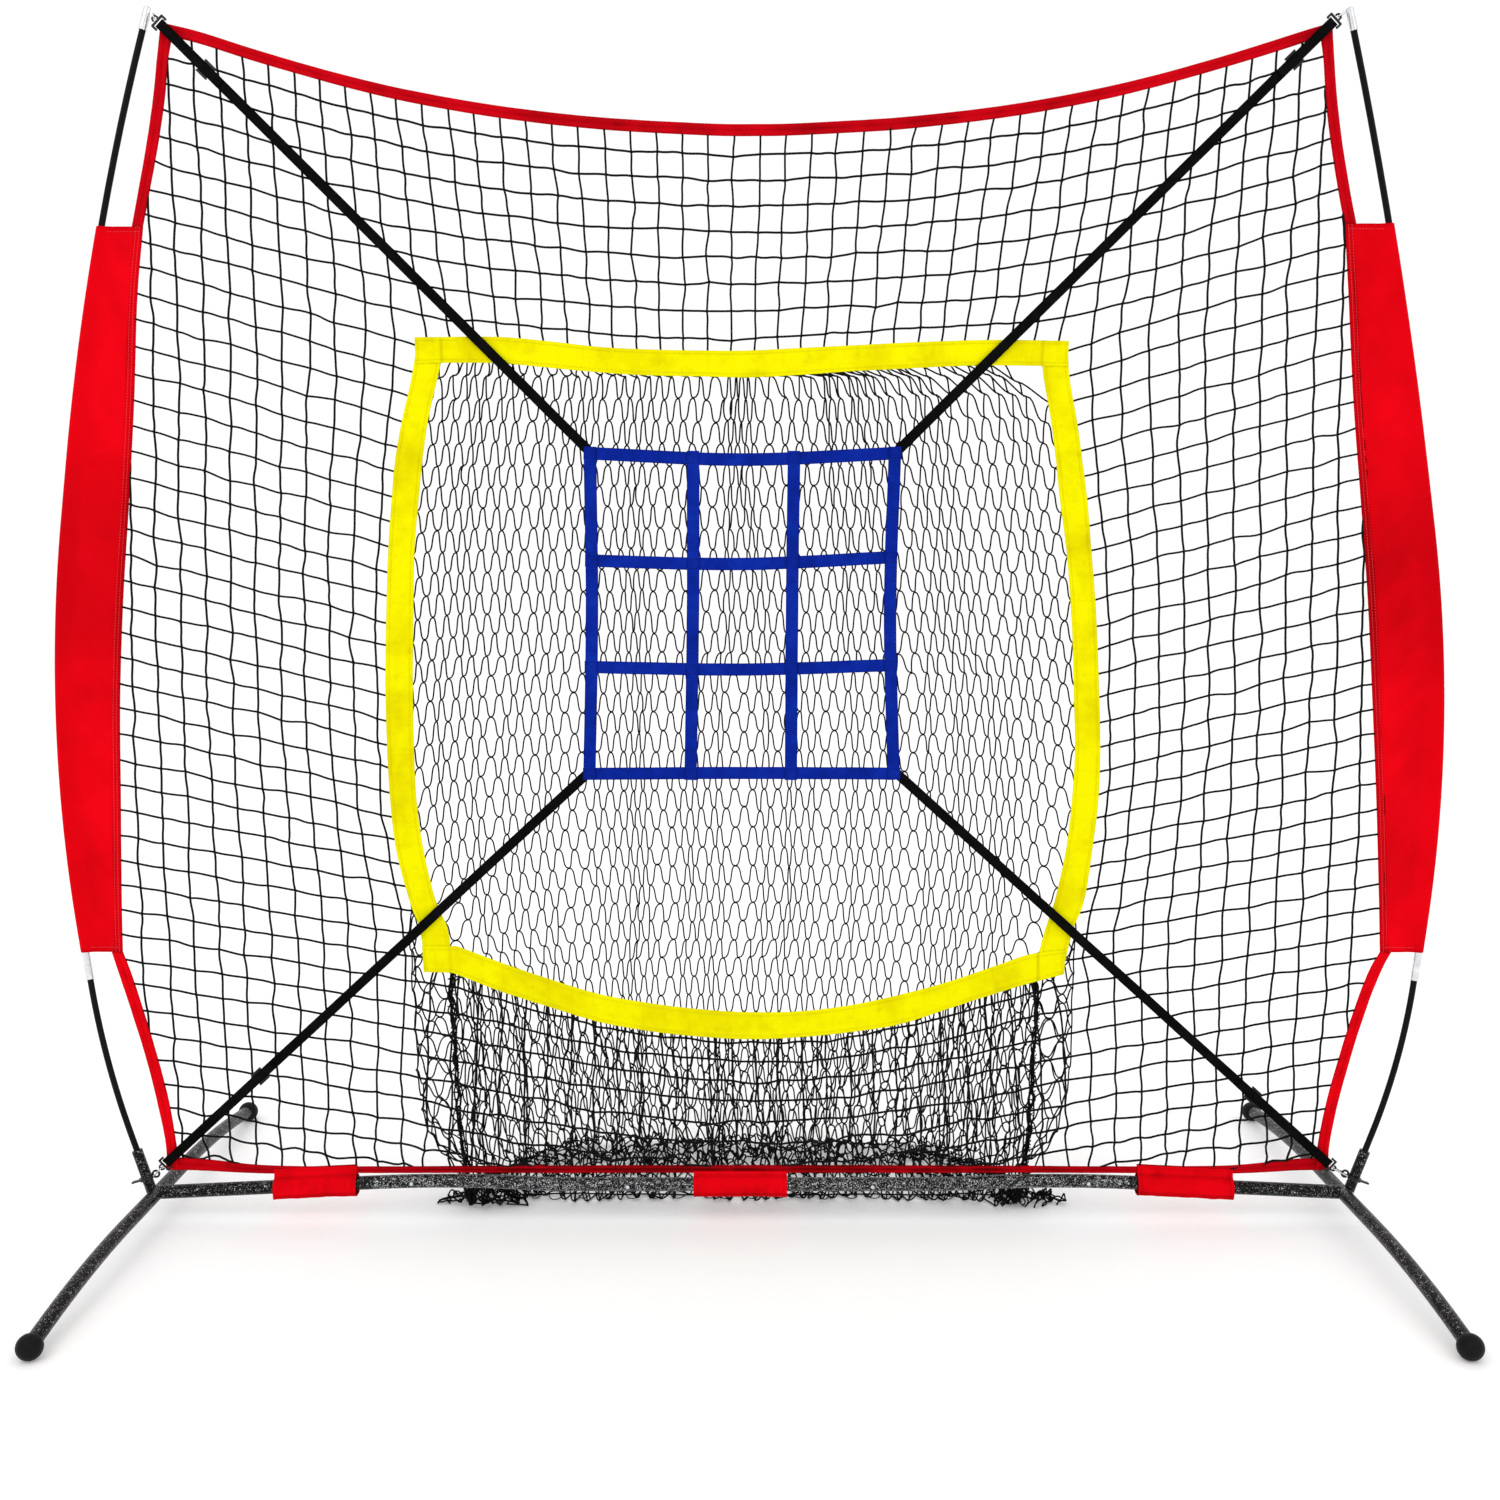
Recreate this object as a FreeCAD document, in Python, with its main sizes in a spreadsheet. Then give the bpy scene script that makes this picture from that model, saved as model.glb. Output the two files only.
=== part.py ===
import FreeCAD, Part
import math
import os
import sys
import Sketcher
from FreeCAD import Vector, Rotation, Placement

# Pitching target net, about seven feet square, standing on a steel base bar with four legs.
# Millimetres. X runs along the base bar, Y is front (-) to back (+), Z is up.
# Origin: on the ground, under the middle of the base bar.

os.makedirs("parts", exist_ok=True)
doc = FreeCAD.newDocument("pitching_target_net")
sheet = doc.addObject("Spreadsheet::Sheet", "Dims")
VALUE = {}
HOME = {}
_row = [1]


def begin(label):
    """A sheet of its own for one piece's outline and place; the shared dimensions stay in Dims."""
    global sheet
    sheet = doc.addObject("Spreadsheet::Sheet", "Dims_" + label)
    _row[0] = 1


def cell(alias, value):
    """One driving dimension: a plain number in the sheet, with an alias."""
    if alias in VALUE:
        return alias
    address = "A%d" % _row[0]
    sheet.set(address, "%.6f" % float(value))
    sheet.setAlias(address, alias)
    VALUE[alias] = float(value)
    HOME[alias] = sheet.Name
    _row[0] += 1
    return alias


def ready():
    sheet.recompute()


def ex(alias, sign=1):
    return ("-" if sign < 0 else "") + HOME[alias] + "." + alias


# ---------------------------------------------------------------- driving dimensions
# base bar and tees
cell("tube_outer", 25.0)
cell("tube_bore", 22.0)
cell("spigot_outer", 21.9)
cell("spigot_bore", 19.0)
cell("tee_x", 1099.0)
cell("tee_z", 51.0)
cell("tee_slope", 2.73)
cell("tee_stub_length", 398.5)
cell("tee_insert_length", 95.0)
cell("bar_arc_radius", 2823.0)
cell("bar_arc_angle", 6.13)
cell("bar_run_in_radius", 1011.0)
cell("bar_run_in_angle", 3.40)
cell("bar_insert_length", 134.0)
cell("leg_stub_reach", 135.0)
cell("button_bore", 7.2)
cell("button_diameter", 6.8)
cell("button_setback_outer", 76.0)
cell("button_setback_inner", 113.0)
# legs and feet
cell("leg_start", 135.2)
cell("leg_spigot_length", 60.0)
cell("leg_reach", 510.0)
cell("foot_centre_height", 20.0)
cell("foot_radius", 20.4)
cell("foot_bore", 25.1)
# pole sockets and poles
cell("pole_foot_x_left", 1109.96)
cell("pole_foot_x_right", 1110.61)
cell("pole_foot_z", 53.37)
cell("pole_angle_left", 16.89)
cell("pole_angle_right", 19.03)
cell("socket_outer", 19.0)
cell("socket_bore", 11.1)
cell("socket_length", 82.0)
cell("socket_floor", 20.0)
cell("rod_diameter", 11.0)
cell("rod_straight_foot", 94.8)
cell("rod_half_ferrule", 49.9)
cell("rod_tip_length", 34.0)
cell("pole_arc_length_low", 299.06)
cell("pole_arc_length_mid", 730.78)
cell("pole_arc_length_top", 743.51)
cell("pole_turn_low_left", 10.466)
cell("pole_turn_mid_left", 14.358)
cell("pole_turn_top_left", 8.931)
cell("pole_turn_low_right", 13.400)
cell("pole_turn_mid_right", 15.160)
cell("pole_turn_top_right", 4.935)
cell("ferrule_outer", 14.0)
cell("ferrule_bore", 11.1)
cell("ferrule_length", 98.0)
cell("tip_outer", 14.0)
cell("tip_length", 39.0)
cell("tip_bore_depth", 35.0)
# cloth
cell("net_thickness", 1.4)
cell("binding_thickness", 4.0)
cell("sleeve_thickness", 18.2)
cell("sleeve_cavity", 15.4)
cell("sleeve_wall", 1.5)
cell("band_thickness", 1.6)
cell("band_y", -2.2)
cell("upright_thickness", 1.4)
cell("upright_y", -13.3)
cell("crossbar_thickness", 1.4)
cell("crossbar_y", -11.7)
cell("webbing_width", 22.0)
cell("strap_width", 17.5)
cell("strap_back_thickness", 1.4)
cell("strap_back_y", -10.1)
cell("strap_front_thickness", 1.4)
cell("strap_front_y", -13.1)
cell("slider_y", -11.6)
cell("pocket_wall", 1.2)
cell("pocket_front_y", 2.4)

PARTS = []          # document objects, one for each file


def place(obj, x, y, z, rotation=None):
    """Position bound to cells, named after the piece."""
    lab = obj.Label
    cell(lab + "_at_x", x)
    cell(lab + "_at_y", y)
    cell(lab + "_at_z", z)
    ready()
    obj.Placement = Placement(Vector(x, y, z), rotation or Rotation())
    for axis in "xyz":
        obj.setExpression("Placement.Base." + axis, ex(lab + "_at_" + axis))


def new_body(label):
    begin(label)
    body = doc.addObject("PartDesign::Body", label)
    body.Label = label
    return body


def plane(body, role):
    for item in body.Origin.OriginFeatures:
        if item.Role == role:
            return item
    raise RuntimeError(role)


def new_sketch(body, name, role):
    sk = body.newObject("Sketcher::SketchObject", body.Label + "_" + name)
    sk.AttachmentSupport = [(plane(body, role), "")]
    sk.MapMode = "FlatFace"
    return sk


def circle_sketch(body, name, role, diameters, x=0.0, y=0.0, xy_alias=None):
    """Circles about one point; diameters are cell aliases."""
    sk = new_sketch(body, name, role)
    for alias in diameters:
        g = sk.addGeometry(Part.Circle(Vector(x, y, 0), Vector(0, 0, 1), VALUE[alias] / 2))
        c = sk.addConstraint(Sketcher.Constraint("Diameter", g, VALUE[alias]))
        sk.setExpression("Constraints[%d]" % c, ex(alias))
        if xy_alias:
            for kind, (al, sg) in (("DistanceX", xy_alias[0]), ("DistanceY", xy_alias[1])):
                c = sk.addConstraint(Sketcher.Constraint(kind, -1, 1, g, 3, sg * VALUE[al]))
                sk.setExpression("Constraints[%d]" % c, ex(al, sg))
        else:
            sk.addConstraint(Sketcher.Constraint("Coincident", g, 3, -1, 1))
    return sk


def seg_list(chain):
    """Resolve a chain to (kind, value, angle in radians, turn sign)."""
    out = []
    for item in chain:
        if item[0] == "line":
            out.append(("line", VALUE[item[1]], 0.0, 0))
        else:
            out.append(("arc", VALUE[item[1]], math.radians(VALUE[item[2]]), item[3]))
    return out


def walk(chain):
    """End point and heading of a chain that starts at (0, 0) heading +Z; heading is measured towards +X."""
    x = z = h = 0.0
    for kind, v, a, sg in seg_list(chain):
        if kind == "line":
            x += v * math.sin(h)
            z += v * math.cos(h)
        else:
            cx, cz = x + sg * v * math.cos(h), z - sg * v * math.sin(h)
            h2 = h + sg * a
            x, z = cx - sg * v * math.cos(h2), cz + sg * v * math.sin(h2)
            h = h2
    return x, z, h


def spine_sketch(body, name, chain):
    """Lines and tangent arcs in the body's XZ plane, from the origin, heading up."""
    sk = new_sketch(body, name, "XZ_Plane")
    x = z = h = 0.0
    last = None
    n = 0
    for item, (kind, v, a, sg) in zip(chain, seg_list(chain)):
        if kind == "line":
            x2, z2 = x + v * math.sin(h), z + v * math.cos(h)
            g = sk.addGeometry(Part.LineSegment(Vector(x, z, 0), Vector(x2, z2, 0)))
            first, second = 1, 2
        else:
            cx, cz = x + sg * v * math.cos(h), z - sg * v * math.sin(h)
            h2 = h + sg * a
            x2, z2 = cx - sg * v * math.cos(h2), cz + sg * v * math.sin(h2)
            b1 = math.atan2(z - cz, x - cx)
            b2 = math.atan2(z2 - cz, x2 - cx)
            lo, hi = (b2, b1) if sg > 0 else (b1, b2)
            while hi < lo:
                hi += 2 * math.pi
            g = sk.addGeometry(Part.ArcOfCircle(Part.Circle(Vector(cx, cz, 0), Vector(0, 0, 1), v), lo, hi))
            first, second = (2, 1) if sg > 0 else (1, 2)
            h = h2
        if last is None:
            sk.addConstraint(Sketcher.Constraint("Coincident", g, first, -1, 1))
            if kind == "line":
                sk.addConstraint(Sketcher.Constraint("Vertical", g))
            else:
                sk.addConstraint(Sketcher.Constraint("PointOnObject", g, 3, -1))
        else:
            sk.addConstraint(Sketcher.Constraint("Tangent", last[0], last[1], g, first))
        if kind == "line":
            c = sk.addConstraint(Sketcher.Constraint("Distance", g, v))
            sk.setExpression("Constraints[%d]" % c, ex(item[1]))
        else:
            c = sk.addConstraint(Sketcher.Constraint("Radius", g, v))
            sk.setExpression("Constraints[%d]" % c, ex(item[1]))
            c = sk.addConstraint(Sketcher.Constraint("Angle", g, a))
            sk.setExpression("Constraints[%d]" % c, ex(item[2]) + " * 1 deg")
        last = (g, second)
        x, z = x2, z2
        n += 1
    return sk, ["Edge%d" % (i + 1) for i in range(n)]


def pipe(body, name, chain, diameters, cut=False):
    sk, edges = spine_sketch(body, name + "_path", chain)
    profile = circle_sketch(body, name + "_ring", "XY_Plane", diameters)
    doc.recompute()
    feature = body.newObject("PartDesign::SubtractivePipe" if cut else "PartDesign::AdditivePipe", body.Label + "_" + name)
    feature.Profile = profile
    feature.Spine = (sk, edges)
    doc.recompute()
    return feature


def pad(body, name, sketch, alias, midplane=False, reverse=False, cut=False, scale=1):
    before = body.Shape.Volume if body.Tip else 0.0
    feature = body.newObject("PartDesign::Pocket" if cut else "PartDesign::Pad", body.Label + "_" + name)
    feature.Profile = sketch
    feature.setExpression("Length", ex(alias) + (" * %g" % scale if scale != 1 else ""))
    if midplane:
        feature.Midplane = True
    if reverse:
        feature.Reversed = True
    doc.recompute()
    after = body.Shape.Volume
    if (after >= before - 1e-6) if cut else (after <= before + 1e-6):
        raise RuntimeError("%s %s changed nothing" % (body.Label, name))
    return feature


def polygon_sketch(body, name, points, role="XZ_Plane", aliases=None):
    """Closed polygon; every corner is bound to two cells."""
    sk = new_sketch(body, name, role)
    n = len(points)
    for i in range(n):
        a, b = points[i], points[(i + 1) % n]
        sk.addGeometry(Part.LineSegment(Vector(a[0], a[1], 0), Vector(b[0], b[1], 0)))
    for i in range(n):
        sk.addConstraint(Sketcher.Constraint("Coincident", i, 2, (i + 1) % n, 1))
    key = "%s_%s" % (body.Label, name)
    doc_cells = []
    for i, (u, v) in enumerate(points):
        doc_cells.append((cell("%s_u%d" % (key, i), u), cell("%s_v%d" % (key, i), v)))
    ready()
    for i, (u, v) in enumerate(points):
        c = sk.addConstraint(Sketcher.Constraint("DistanceX", -1, 1, i, 1, float(u)))
        sk.setExpression("Constraints[%d]" % c, ex(doc_cells[i][0]))
        c = sk.addConstraint(Sketcher.Constraint("DistanceY", -1, 1, i, 1, float(v)))
        sk.setExpression("Constraints[%d]" % c, ex(doc_cells[i][1]))
    return sk


def plate(label, points, thickness, y_alias=None):
    """A flat cloth piece: an outline in the XZ plane, padded both ways."""
    body = new_body(label)
    sk = polygon_sketch(body, "outline", points)
    pad(body, "pad", sk, thickness, midplane=True)
    place(body, 0, VALUE[y_alias] if y_alias else 0.0, 0)
    if y_alias:
        body.setExpression("Placement.Base.y", ex(y_alias))
    PARTS.append(body)
    return body


def cylinder(name, diameter, height):
    c = doc.addObject("Part::Cylinder", name)
    c.setExpression("Radius", ex(diameter) + " / 2")
    c.setExpression("Height", ex(height))
    return c


def boolean(kind, name, base, tool):
    f = doc.addObject("Part::" + kind, name)
    f.Base = base
    f.Tool = tool
    return f


def offset_line(points, d):
    """Points moved d to the left of their direction of travel (x, z plane)."""
    out = []
    n = len(points)
    for i in range(n):
        a, b = points[max(i - 1, 0)], points[min(i + 1, n - 1)]
        tx, tz = b[0] - a[0], b[1] - a[1]
        length = math.hypot(tx, tz)
        out.append((points[i][0] - tz / length * d, points[i][1] + tx / length * d))
    return out


SIDES = (("left", -1), ("right", 1))

# ================================================================ end tees: bar stub, leg stubs, insert
bar_run = [("arc", "bar_arc_radius", "bar_arc_angle", 1), ("arc", "bar_run_in_radius", "bar_run_in_angle", -1)]
slope = math.radians(VALUE["tee_slope"])
cell("tee_insert_angle", math.degrees(VALUE["tee_insert_length"] / VALUE["bar_arc_radius"]))
cell("bar_socket_angle", math.degrees((VALUE["tee_insert_length"] + 1.0) / VALUE["bar_arc_radius"]))
back = VALUE["button_setback_outer"]
cell("tee_button_x", back ** 2 / (2 * VALUE["bar_arc_radius"]))
cell("tee_button_z", VALUE["tee_stub_length"] + back)
cell("bar_button_x", back ** 2 / (2 * VALUE["bar_arc_radius"]))
cell("bar_button_z", back)
cell("button_cut_depth", 14.0)
ready()

join_x = VALUE["tee_x"] - VALUE["tee_stub_length"] * math.cos(slope)
join_z = VALUE["tee_z"] + VALUE["tee_stub_length"] * math.sin(slope)
rx, rz, rh = walk(bar_run)


def bar_point(local_x, local_z):
    """Bar-run local point to (distance inboard from the joint, height), same on both sides."""
    along = local_z * math.cos(slope) + local_x * math.sin(slope)
    up = local_z * math.sin(slope) - local_x * math.cos(slope)
    return join_x - along, join_z + up


inner_x, inner_z = bar_point(rx, rz)
print("bar joint at x %.1f z %.1f; middle joint at x %.1f z %.1f, heading %.3f deg" % (join_x, join_z, inner_x, inner_z, math.degrees(rh) - VALUE["tee_slope"]))


def bar_rotation(side):
    # local Z points inboard along the stub, local X points down on both sides
    c, s_ = math.cos(slope), math.sin(slope)
    zdir = Vector(-side * c, 0, s_)
    xdir = Vector(-side * s_, 0, -c)
    return Rotation(xdir, zdir.cross(xdir), zdir, "ZXY")


for name, side in SIDES:
    tee = new_body("end_tee_" + name)
    pipe(tee, "stub", [("line", "tee_stub_length")], ["tube_outer"])
    insert_run = [("line", "tee_stub_length"), ("arc", "bar_arc_radius", "tee_insert_angle", 1)]
    pipe(tee, "insert", insert_run, ["spigot_outer"])
    cell("tee_over_angle", math.degrees((VALUE["tee_insert_length"] + 5.0) / VALUE["bar_arc_radius"]))
    ready()
    pipe(tee, "bore", [("line", "tee_stub_length"), ("arc", "bar_arc_radius", "tee_over_angle", 1)], ["spigot_bore"], cut=True)
    legs = circle_sketch(tee, "leg_tube", "XZ_Plane", ["tube_outer"])
    pad(tee, "leg_tube_pad", legs, "leg_stub_reach", midplane=True, scale=2)
    bore = circle_sketch(tee, "leg_bore", "XZ_Plane", ["tube_bore"])
    cell("leg_bore_length", 2 * VALUE["leg_stub_reach"] + 20)
    ready()
    pad(tee, "leg_bore_cut", bore, "leg_bore_length", midplane=True, cut=True)
    hole = circle_sketch(tee, "button_hole", "XZ_Plane", ["button_bore"], VALUE["tee_button_x"], VALUE["tee_button_z"], (("tee_button_x", 1), ("tee_button_z", 1)))
    # the hole is in the front wall only; local Y is world +Y on the left and world -Y on the right
    pad(tee, "button_cut", hole, "button_cut_depth", cut=True, reverse=(side < 0))
    place(tee, side * VALUE["tee_x"], 0, VALUE["tee_z"], bar_rotation(side))
    PARTS.append(tee)

    bar = new_body("base_bar_" + name)
    pipe(bar, "tube", bar_run, ["tube_outer"])
    pipe(bar, "insert", bar_run + [("line", "bar_insert_length")], ["spigot_outer"])
    cell("bar_over_length", VALUE["bar_insert_length"] + 5)
    ready()
    pipe(bar, "bore", bar_run + [("line", "bar_over_length")], ["spigot_bore"], cut=True)
    pipe(bar, "socket", [("arc", "bar_arc_radius", "bar_socket_angle", 1)], ["tube_bore"], cut=True)
    hole = circle_sketch(bar, "button_hole", "XZ_Plane", ["button_bore"], VALUE["bar_button_x"], VALUE["bar_button_z"], (("bar_button_x", 1), ("bar_button_z", 1)))
    pad(bar, "button_cut", hole, "button_cut_depth", cut=True, reverse=(side < 0))
    bx = rx + VALUE["button_setback_inner"] * math.sin(rh)
    bz = rz + VALUE["button_setback_inner"] * math.cos(rh)
    cell("bar_inner_button_x", bx)
    cell("bar_inner_button_z", bz)
    ready()
    hole = circle_sketch(bar, "inner_button_hole", "XZ_Plane", ["button_bore"], bx, bz, (("bar_inner_button_x", 1), ("bar_inner_button_z", 1)))
    pad(bar, "inner_button_cut", hole, "button_cut_depth", cut=True, reverse=(side < 0))
    place(bar, side * join_x, 0, join_z, bar_rotation(side))
    PARTS.append(bar)

middle = new_body("base_bar_middle")
cell("middle_bar_length", 2 * inner_x)
cell("middle_button_x", inner_x - VALUE["button_setback_inner"])
cell("middle_button_z", 0.0)
ready()
ring = circle_sketch(middle, "ring", "YZ_Plane", ["tube_outer", "tube_bore"])
pad(middle, "tube", ring, "middle_bar_length", midplane=True)
for tag, sg in (("a", -1), ("b", 1)):
    hole = circle_sketch(middle, "button_hole_" + tag, "XZ_Plane", ["button_bore"], sg * VALUE["middle_button_x"], 0.0, (("middle_button_x", sg), ("middle_button_z", 1)))
    pad(middle, "button_cut_" + tag, hole, "button_cut_depth", cut=True, reverse=True)
place(middle, 0, 0, inner_z)
PARTS.append(middle)

# ================================================================ snap buttons in the bar joints
ox, oz = bar_point(VALUE["bar_button_x"], VALUE["bar_button_z"])
BUTTONS = {
    "snap_button_outer_left": (-ox, oz),
    "snap_button_outer_right": (ox, oz),
    "snap_button_inner_left": (-VALUE["middle_button_x"], inner_z),
    "snap_button_inner_right": (VALUE["middle_button_x"], inner_z),
}
cell("button_head_radius", 3.4)
cell("button_head_out", 15.6)
cell("button_flange_radius", 5.0)
cell("button_flange_front", 7.4)
cell("button_flange_back", 5.8)
ready()
for label, (bx, bz) in BUTTONS.items():
    body = new_body(label)
    # turned pin with a flange, its axis along the local Z axis, which points out of the front of the bar
    pr, po, fr, ff, fb = (VALUE[k] for k in ("button_head_radius", "button_head_out", "button_flange_radius", "button_flange_front", "button_flange_back"))
    sk = polygon_sketch(body, "half", [(0, fb), (fr, fb), (fr, ff), (pr, ff), (pr, po - 1.0), (pr - 1.0, po), (0, po)])
    turn = body.newObject("PartDesign::Revolution", label + "_turn")
    turn.Profile = sk
    turn.ReferenceAxis = (sk, ["V_Axis"])
    turn.Angle = 360
    doc.recompute()
    place(body, bx, 0, bz, Rotation(Vector(1, 0, 0), 90))
    PARTS.append(body)

# ================================================================ legs and feet
leg_run = VALUE["leg_reach"] - VALUE["leg_start"]
leg_drop = VALUE["tee_z"] - VALUE["foot_centre_height"]
leg_radius = (leg_run ** 2 + leg_drop ** 2) / (2 * leg_drop)
leg_angle = math.degrees(math.asin(leg_run / leg_radius))
cell("leg_radius", leg_radius)
cell("leg_angle", leg_angle)
cell("foot_bore_length", 40.0)
cell("foot_block", 60.0)
ready()
for name, side in SIDES:
    for end, fy in (("front", -1), ("rear", 1)):
        leg = new_body("leg_%s_%s" % (end, name))
        pipe(leg, "tube", [("arc", "leg_radius", "leg_angle", 1)], ["tube_outer", "spigot_bore"])
        ring = circle_sketch(leg, "spigot_ring", "XY_Plane", ["spigot_outer", "spigot_bore"])
        pad(leg, "spigot", ring, "leg_spigot_length", reverse=True)
        zdir = Vector(0, fy, 0)
        xdir = Vector(0, 0, -1)
        place(leg, side * VALUE["tee_x"], fy * VALUE["leg_start"], VALUE["tee_z"], Rotation(xdir, zdir.cross(xdir), zdir, "ZXY"))
        PARTS.append(leg)

        label = "foot_%s_%s" % (end, name)
        begin(label)
        ball = doc.addObject("Part::Sphere", label + "_ball")
        ball.setExpression("Radius", ex("foot_radius"))
        block = doc.addObject("Part::Box", label + "_ground")
        block.setExpression("Length", ex("foot_block"))
        block.setExpression("Width", ex("foot_block"))
        block.setExpression("Height", ex("foot_block"))
        block.setExpression("Placement.Base.x", ex("foot_block", -1) + " / 2")
        block.setExpression("Placement.Base.y", ex("foot_block", -1) + " / 2")
        block.setExpression("Placement.Base.z", ex("foot_block", -1) + " - " + ex("foot_centre_height"))
        flat = boolean("Cut", label + "_flat", ball, block)
        hole = cylinder(label + "_bore", "foot_bore", "foot_bore_length")
        a = math.radians(leg_angle)
        # the bore runs back up the leg from just past the middle of the ball
        zdir = Vector(0, -fy * math.cos(a), math.sin(a))
        hole.Placement = Placement(zdir * -0.3, Rotation(Vector(0, 0, 1), zdir))
        foot = boolean("Cut", label, flat, hole)
        foot.Label = label
        doc.recompute()
        place(foot, side * VALUE["tee_x"], fy * VALUE["leg_reach"], VALUE["foot_centre_height"])
        PARTS.append(foot)

# ================================================================ sockets, poles, ferrules and tips
POLE = {}
for name, side in SIDES:
    angle = VALUE["pole_angle_" + name]
    start = (VALUE["pole_foot_x_" + name], VALUE["pole_foot_z"])
    cell("half_ferrule_step", 50.0)
    # arcs given by length and turn; the radius follows
    for tag in ("low", "mid", "top"):
        cell("pole_radius_%s_%s" % (tag, name), VALUE["pole_arc_length_" + tag] / math.radians(VALUE["pole_turn_%s_%s" % (tag, name)]))
    ready()

    def at(s_chain, angle=angle, start=start):
        """World place of a chain's end, measured from the pole's foot; x is outboard distance."""
        x, z, h = walk(s_chain)
        a0 = math.radians(angle)
        # chain x is inboard here
        out = start[0] + z * math.sin(a0) - x * math.cos(a0)
        up = start[1] + z * math.cos(a0) + x * math.sin(a0)
        return out, up, a0 - h

    cell("pole_to_rod", VALUE["socket_floor"] + 0.2)
    cell("pole_foot_straight", 115.0)
    ready()
    low = ("arc", "pole_radius_low_" + name, "pole_turn_low_" + name, 1)
    mid = ("arc", "pole_radius_mid_" + name, "pole_turn_mid_" + name, 1)
    top = ("arc", "pole_radius_top_" + name, "pole_turn_top_" + name, 1)
    straight = ("line", "pole_foot_straight")
    half = ("line", "half_ferrule_step")
    POLE[name] = dict(side=side, at=at, chains=dict(
        rod_start=[("line", "pole_to_rod")],
        joint1=[straight, low, half],
        joint2=[straight, low, half, half, mid, half],
        tip=[straight, low, half, half, mid, half, half, top]))

    def turned(label_obj, where, tilt_sign=1):
        out, up, heading = where
        # local Z along the pole, local X inboard
        zdir = Vector(side * math.sin(heading), 0, math.cos(heading))
        xdir = Vector(-side * math.cos(heading), 0, math.sin(heading))
        place(label_obj, side * out, 0, up, Rotation(xdir, zdir.cross(xdir), zdir, "ZXY"))

    # socket tube, cut to sit on the tee's leg tube
    label = "pole_socket_" + name
    begin(label)
    outer = cylinder(label + "_outer", "socket_outer", "socket_length")
    bore = cylinder(label + "_bore", "socket_bore", "socket_length")
    bore.setExpression("Placement.Base.z", ex("socket_floor"))
    tube = boolean("Cut", label + "_tube", outer, bore)
    saddle = cylinder(label + "_saddle", "tube_outer", "leg_bore_length")
    tx, tz = VALUE["tee_x"] - start[0], VALUE["tee_z"] - start[1]
    a0 = math.radians(angle)
    # tee centre in the socket's own frame (x inboard, z up the socket)
    lx = -(tx * math.cos(a0)) + tz * math.sin(a0)
    lz = tx * math.sin(a0) + tz * math.cos(a0)
    saddle.Placement = Placement(Vector(lx, -VALUE["leg_bore_length"] / 2, lz), Rotation(Vector(1, 0, 0), -90))
    socket = boolean("Cut", label, tube, saddle)
    socket.Label = label
    doc.recompute()
    turned(socket, (start[0], start[1], a0))
    PARTS.append(socket)

    rods = (
        ("pole_lower_", [("line", "rod_straight_foot"), low, ("line", "rod_half_ferrule")], POLE[name]["chains"]["rod_start"]),
        ("pole_middle_", [("line", "rod_half_ferrule"), mid, ("line", "rod_half_ferrule")], None),
        ("pole_upper_", [("line", "rod_half_ferrule"), top, ("line", "rod_tip_length")], None),
    )
    for prefix, chain, foot_chain in rods:
        rod = new_body(prefix + name)
        pipe(rod, "rod", chain, ["rod_diameter"])
        if foot_chain is None:
            foot_chain = POLE[name]["chains"]["joint1" if "middle" in prefix else "joint2"]
        out, up, heading = at(foot_chain)
        if prefix != "pole_lower_":
            out += 0.1 * math.sin(heading)
            up += 0.1 * math.cos(heading)
        turned(rod, (out, up, heading))
        PARTS.append(rod)

    # hooked steel cap at the top of the pole
    label = "pole_tip_" + name
    body = new_body(label)
    cell("tip_hollow", VALUE["ferrule_bore"])
    ready()
    tr, tl = VALUE["tip_outer"] / 2, VALUE["tip_length"]
    sk = polygon_sketch(body, "half", [(0, 0), (tr, 0), (tr, tl - 2.4), (tr - 0.7, tl - 0.9), (tr - 2.2, tl), (0, tl)])
    turn = body.newObject("PartDesign::Revolution", label + "_turn")
    turn.Profile = sk
    turn.ReferenceAxis = (sk, ["V_Axis"])
    turn.Angle = 360
    doc.recompute()
    well = circle_sketch(body, "well", "XY_Plane", ["tip_hollow"])
    # the hollow opens at the lower end, where the rod comes in
    pad(body, "hollow", well, "tip_bore_depth", cut=True, reverse=True)
    # eye for the corner link, on the inboard side: a flat tab with a hole
    eye = polygon_sketch(body, "eye", [(6.1, 27.0), (13.0, 24.0), (19.0, 26.5), (19.0, 34.0), (13.0, 37.0), (6.1, 37.0)])
    cell("eye_thickness", 3.0)
    ready()
    pad(body, "eye_pad", eye, "eye_thickness", midplane=True)
    cell("eye_hole", 6.0)
    cell("eye_hole_x", 13.5)
    cell("eye_hole_z", 30.5)
    ready()
    hole = circle_sketch(body, "eye_hole", "XZ_Plane", ["eye_hole"], 13.5, 30.5, (("eye_hole_x", 1), ("eye_hole_z", 1)))
    cell("eye_cut", 8.0)
    ready()
    pad(body, "eye_drill", hole, "eye_cut", midplane=True, cut=True)
    turned(body, at(POLE[name]["chains"]["tip"]))
    PARTS.append(body)

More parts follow.
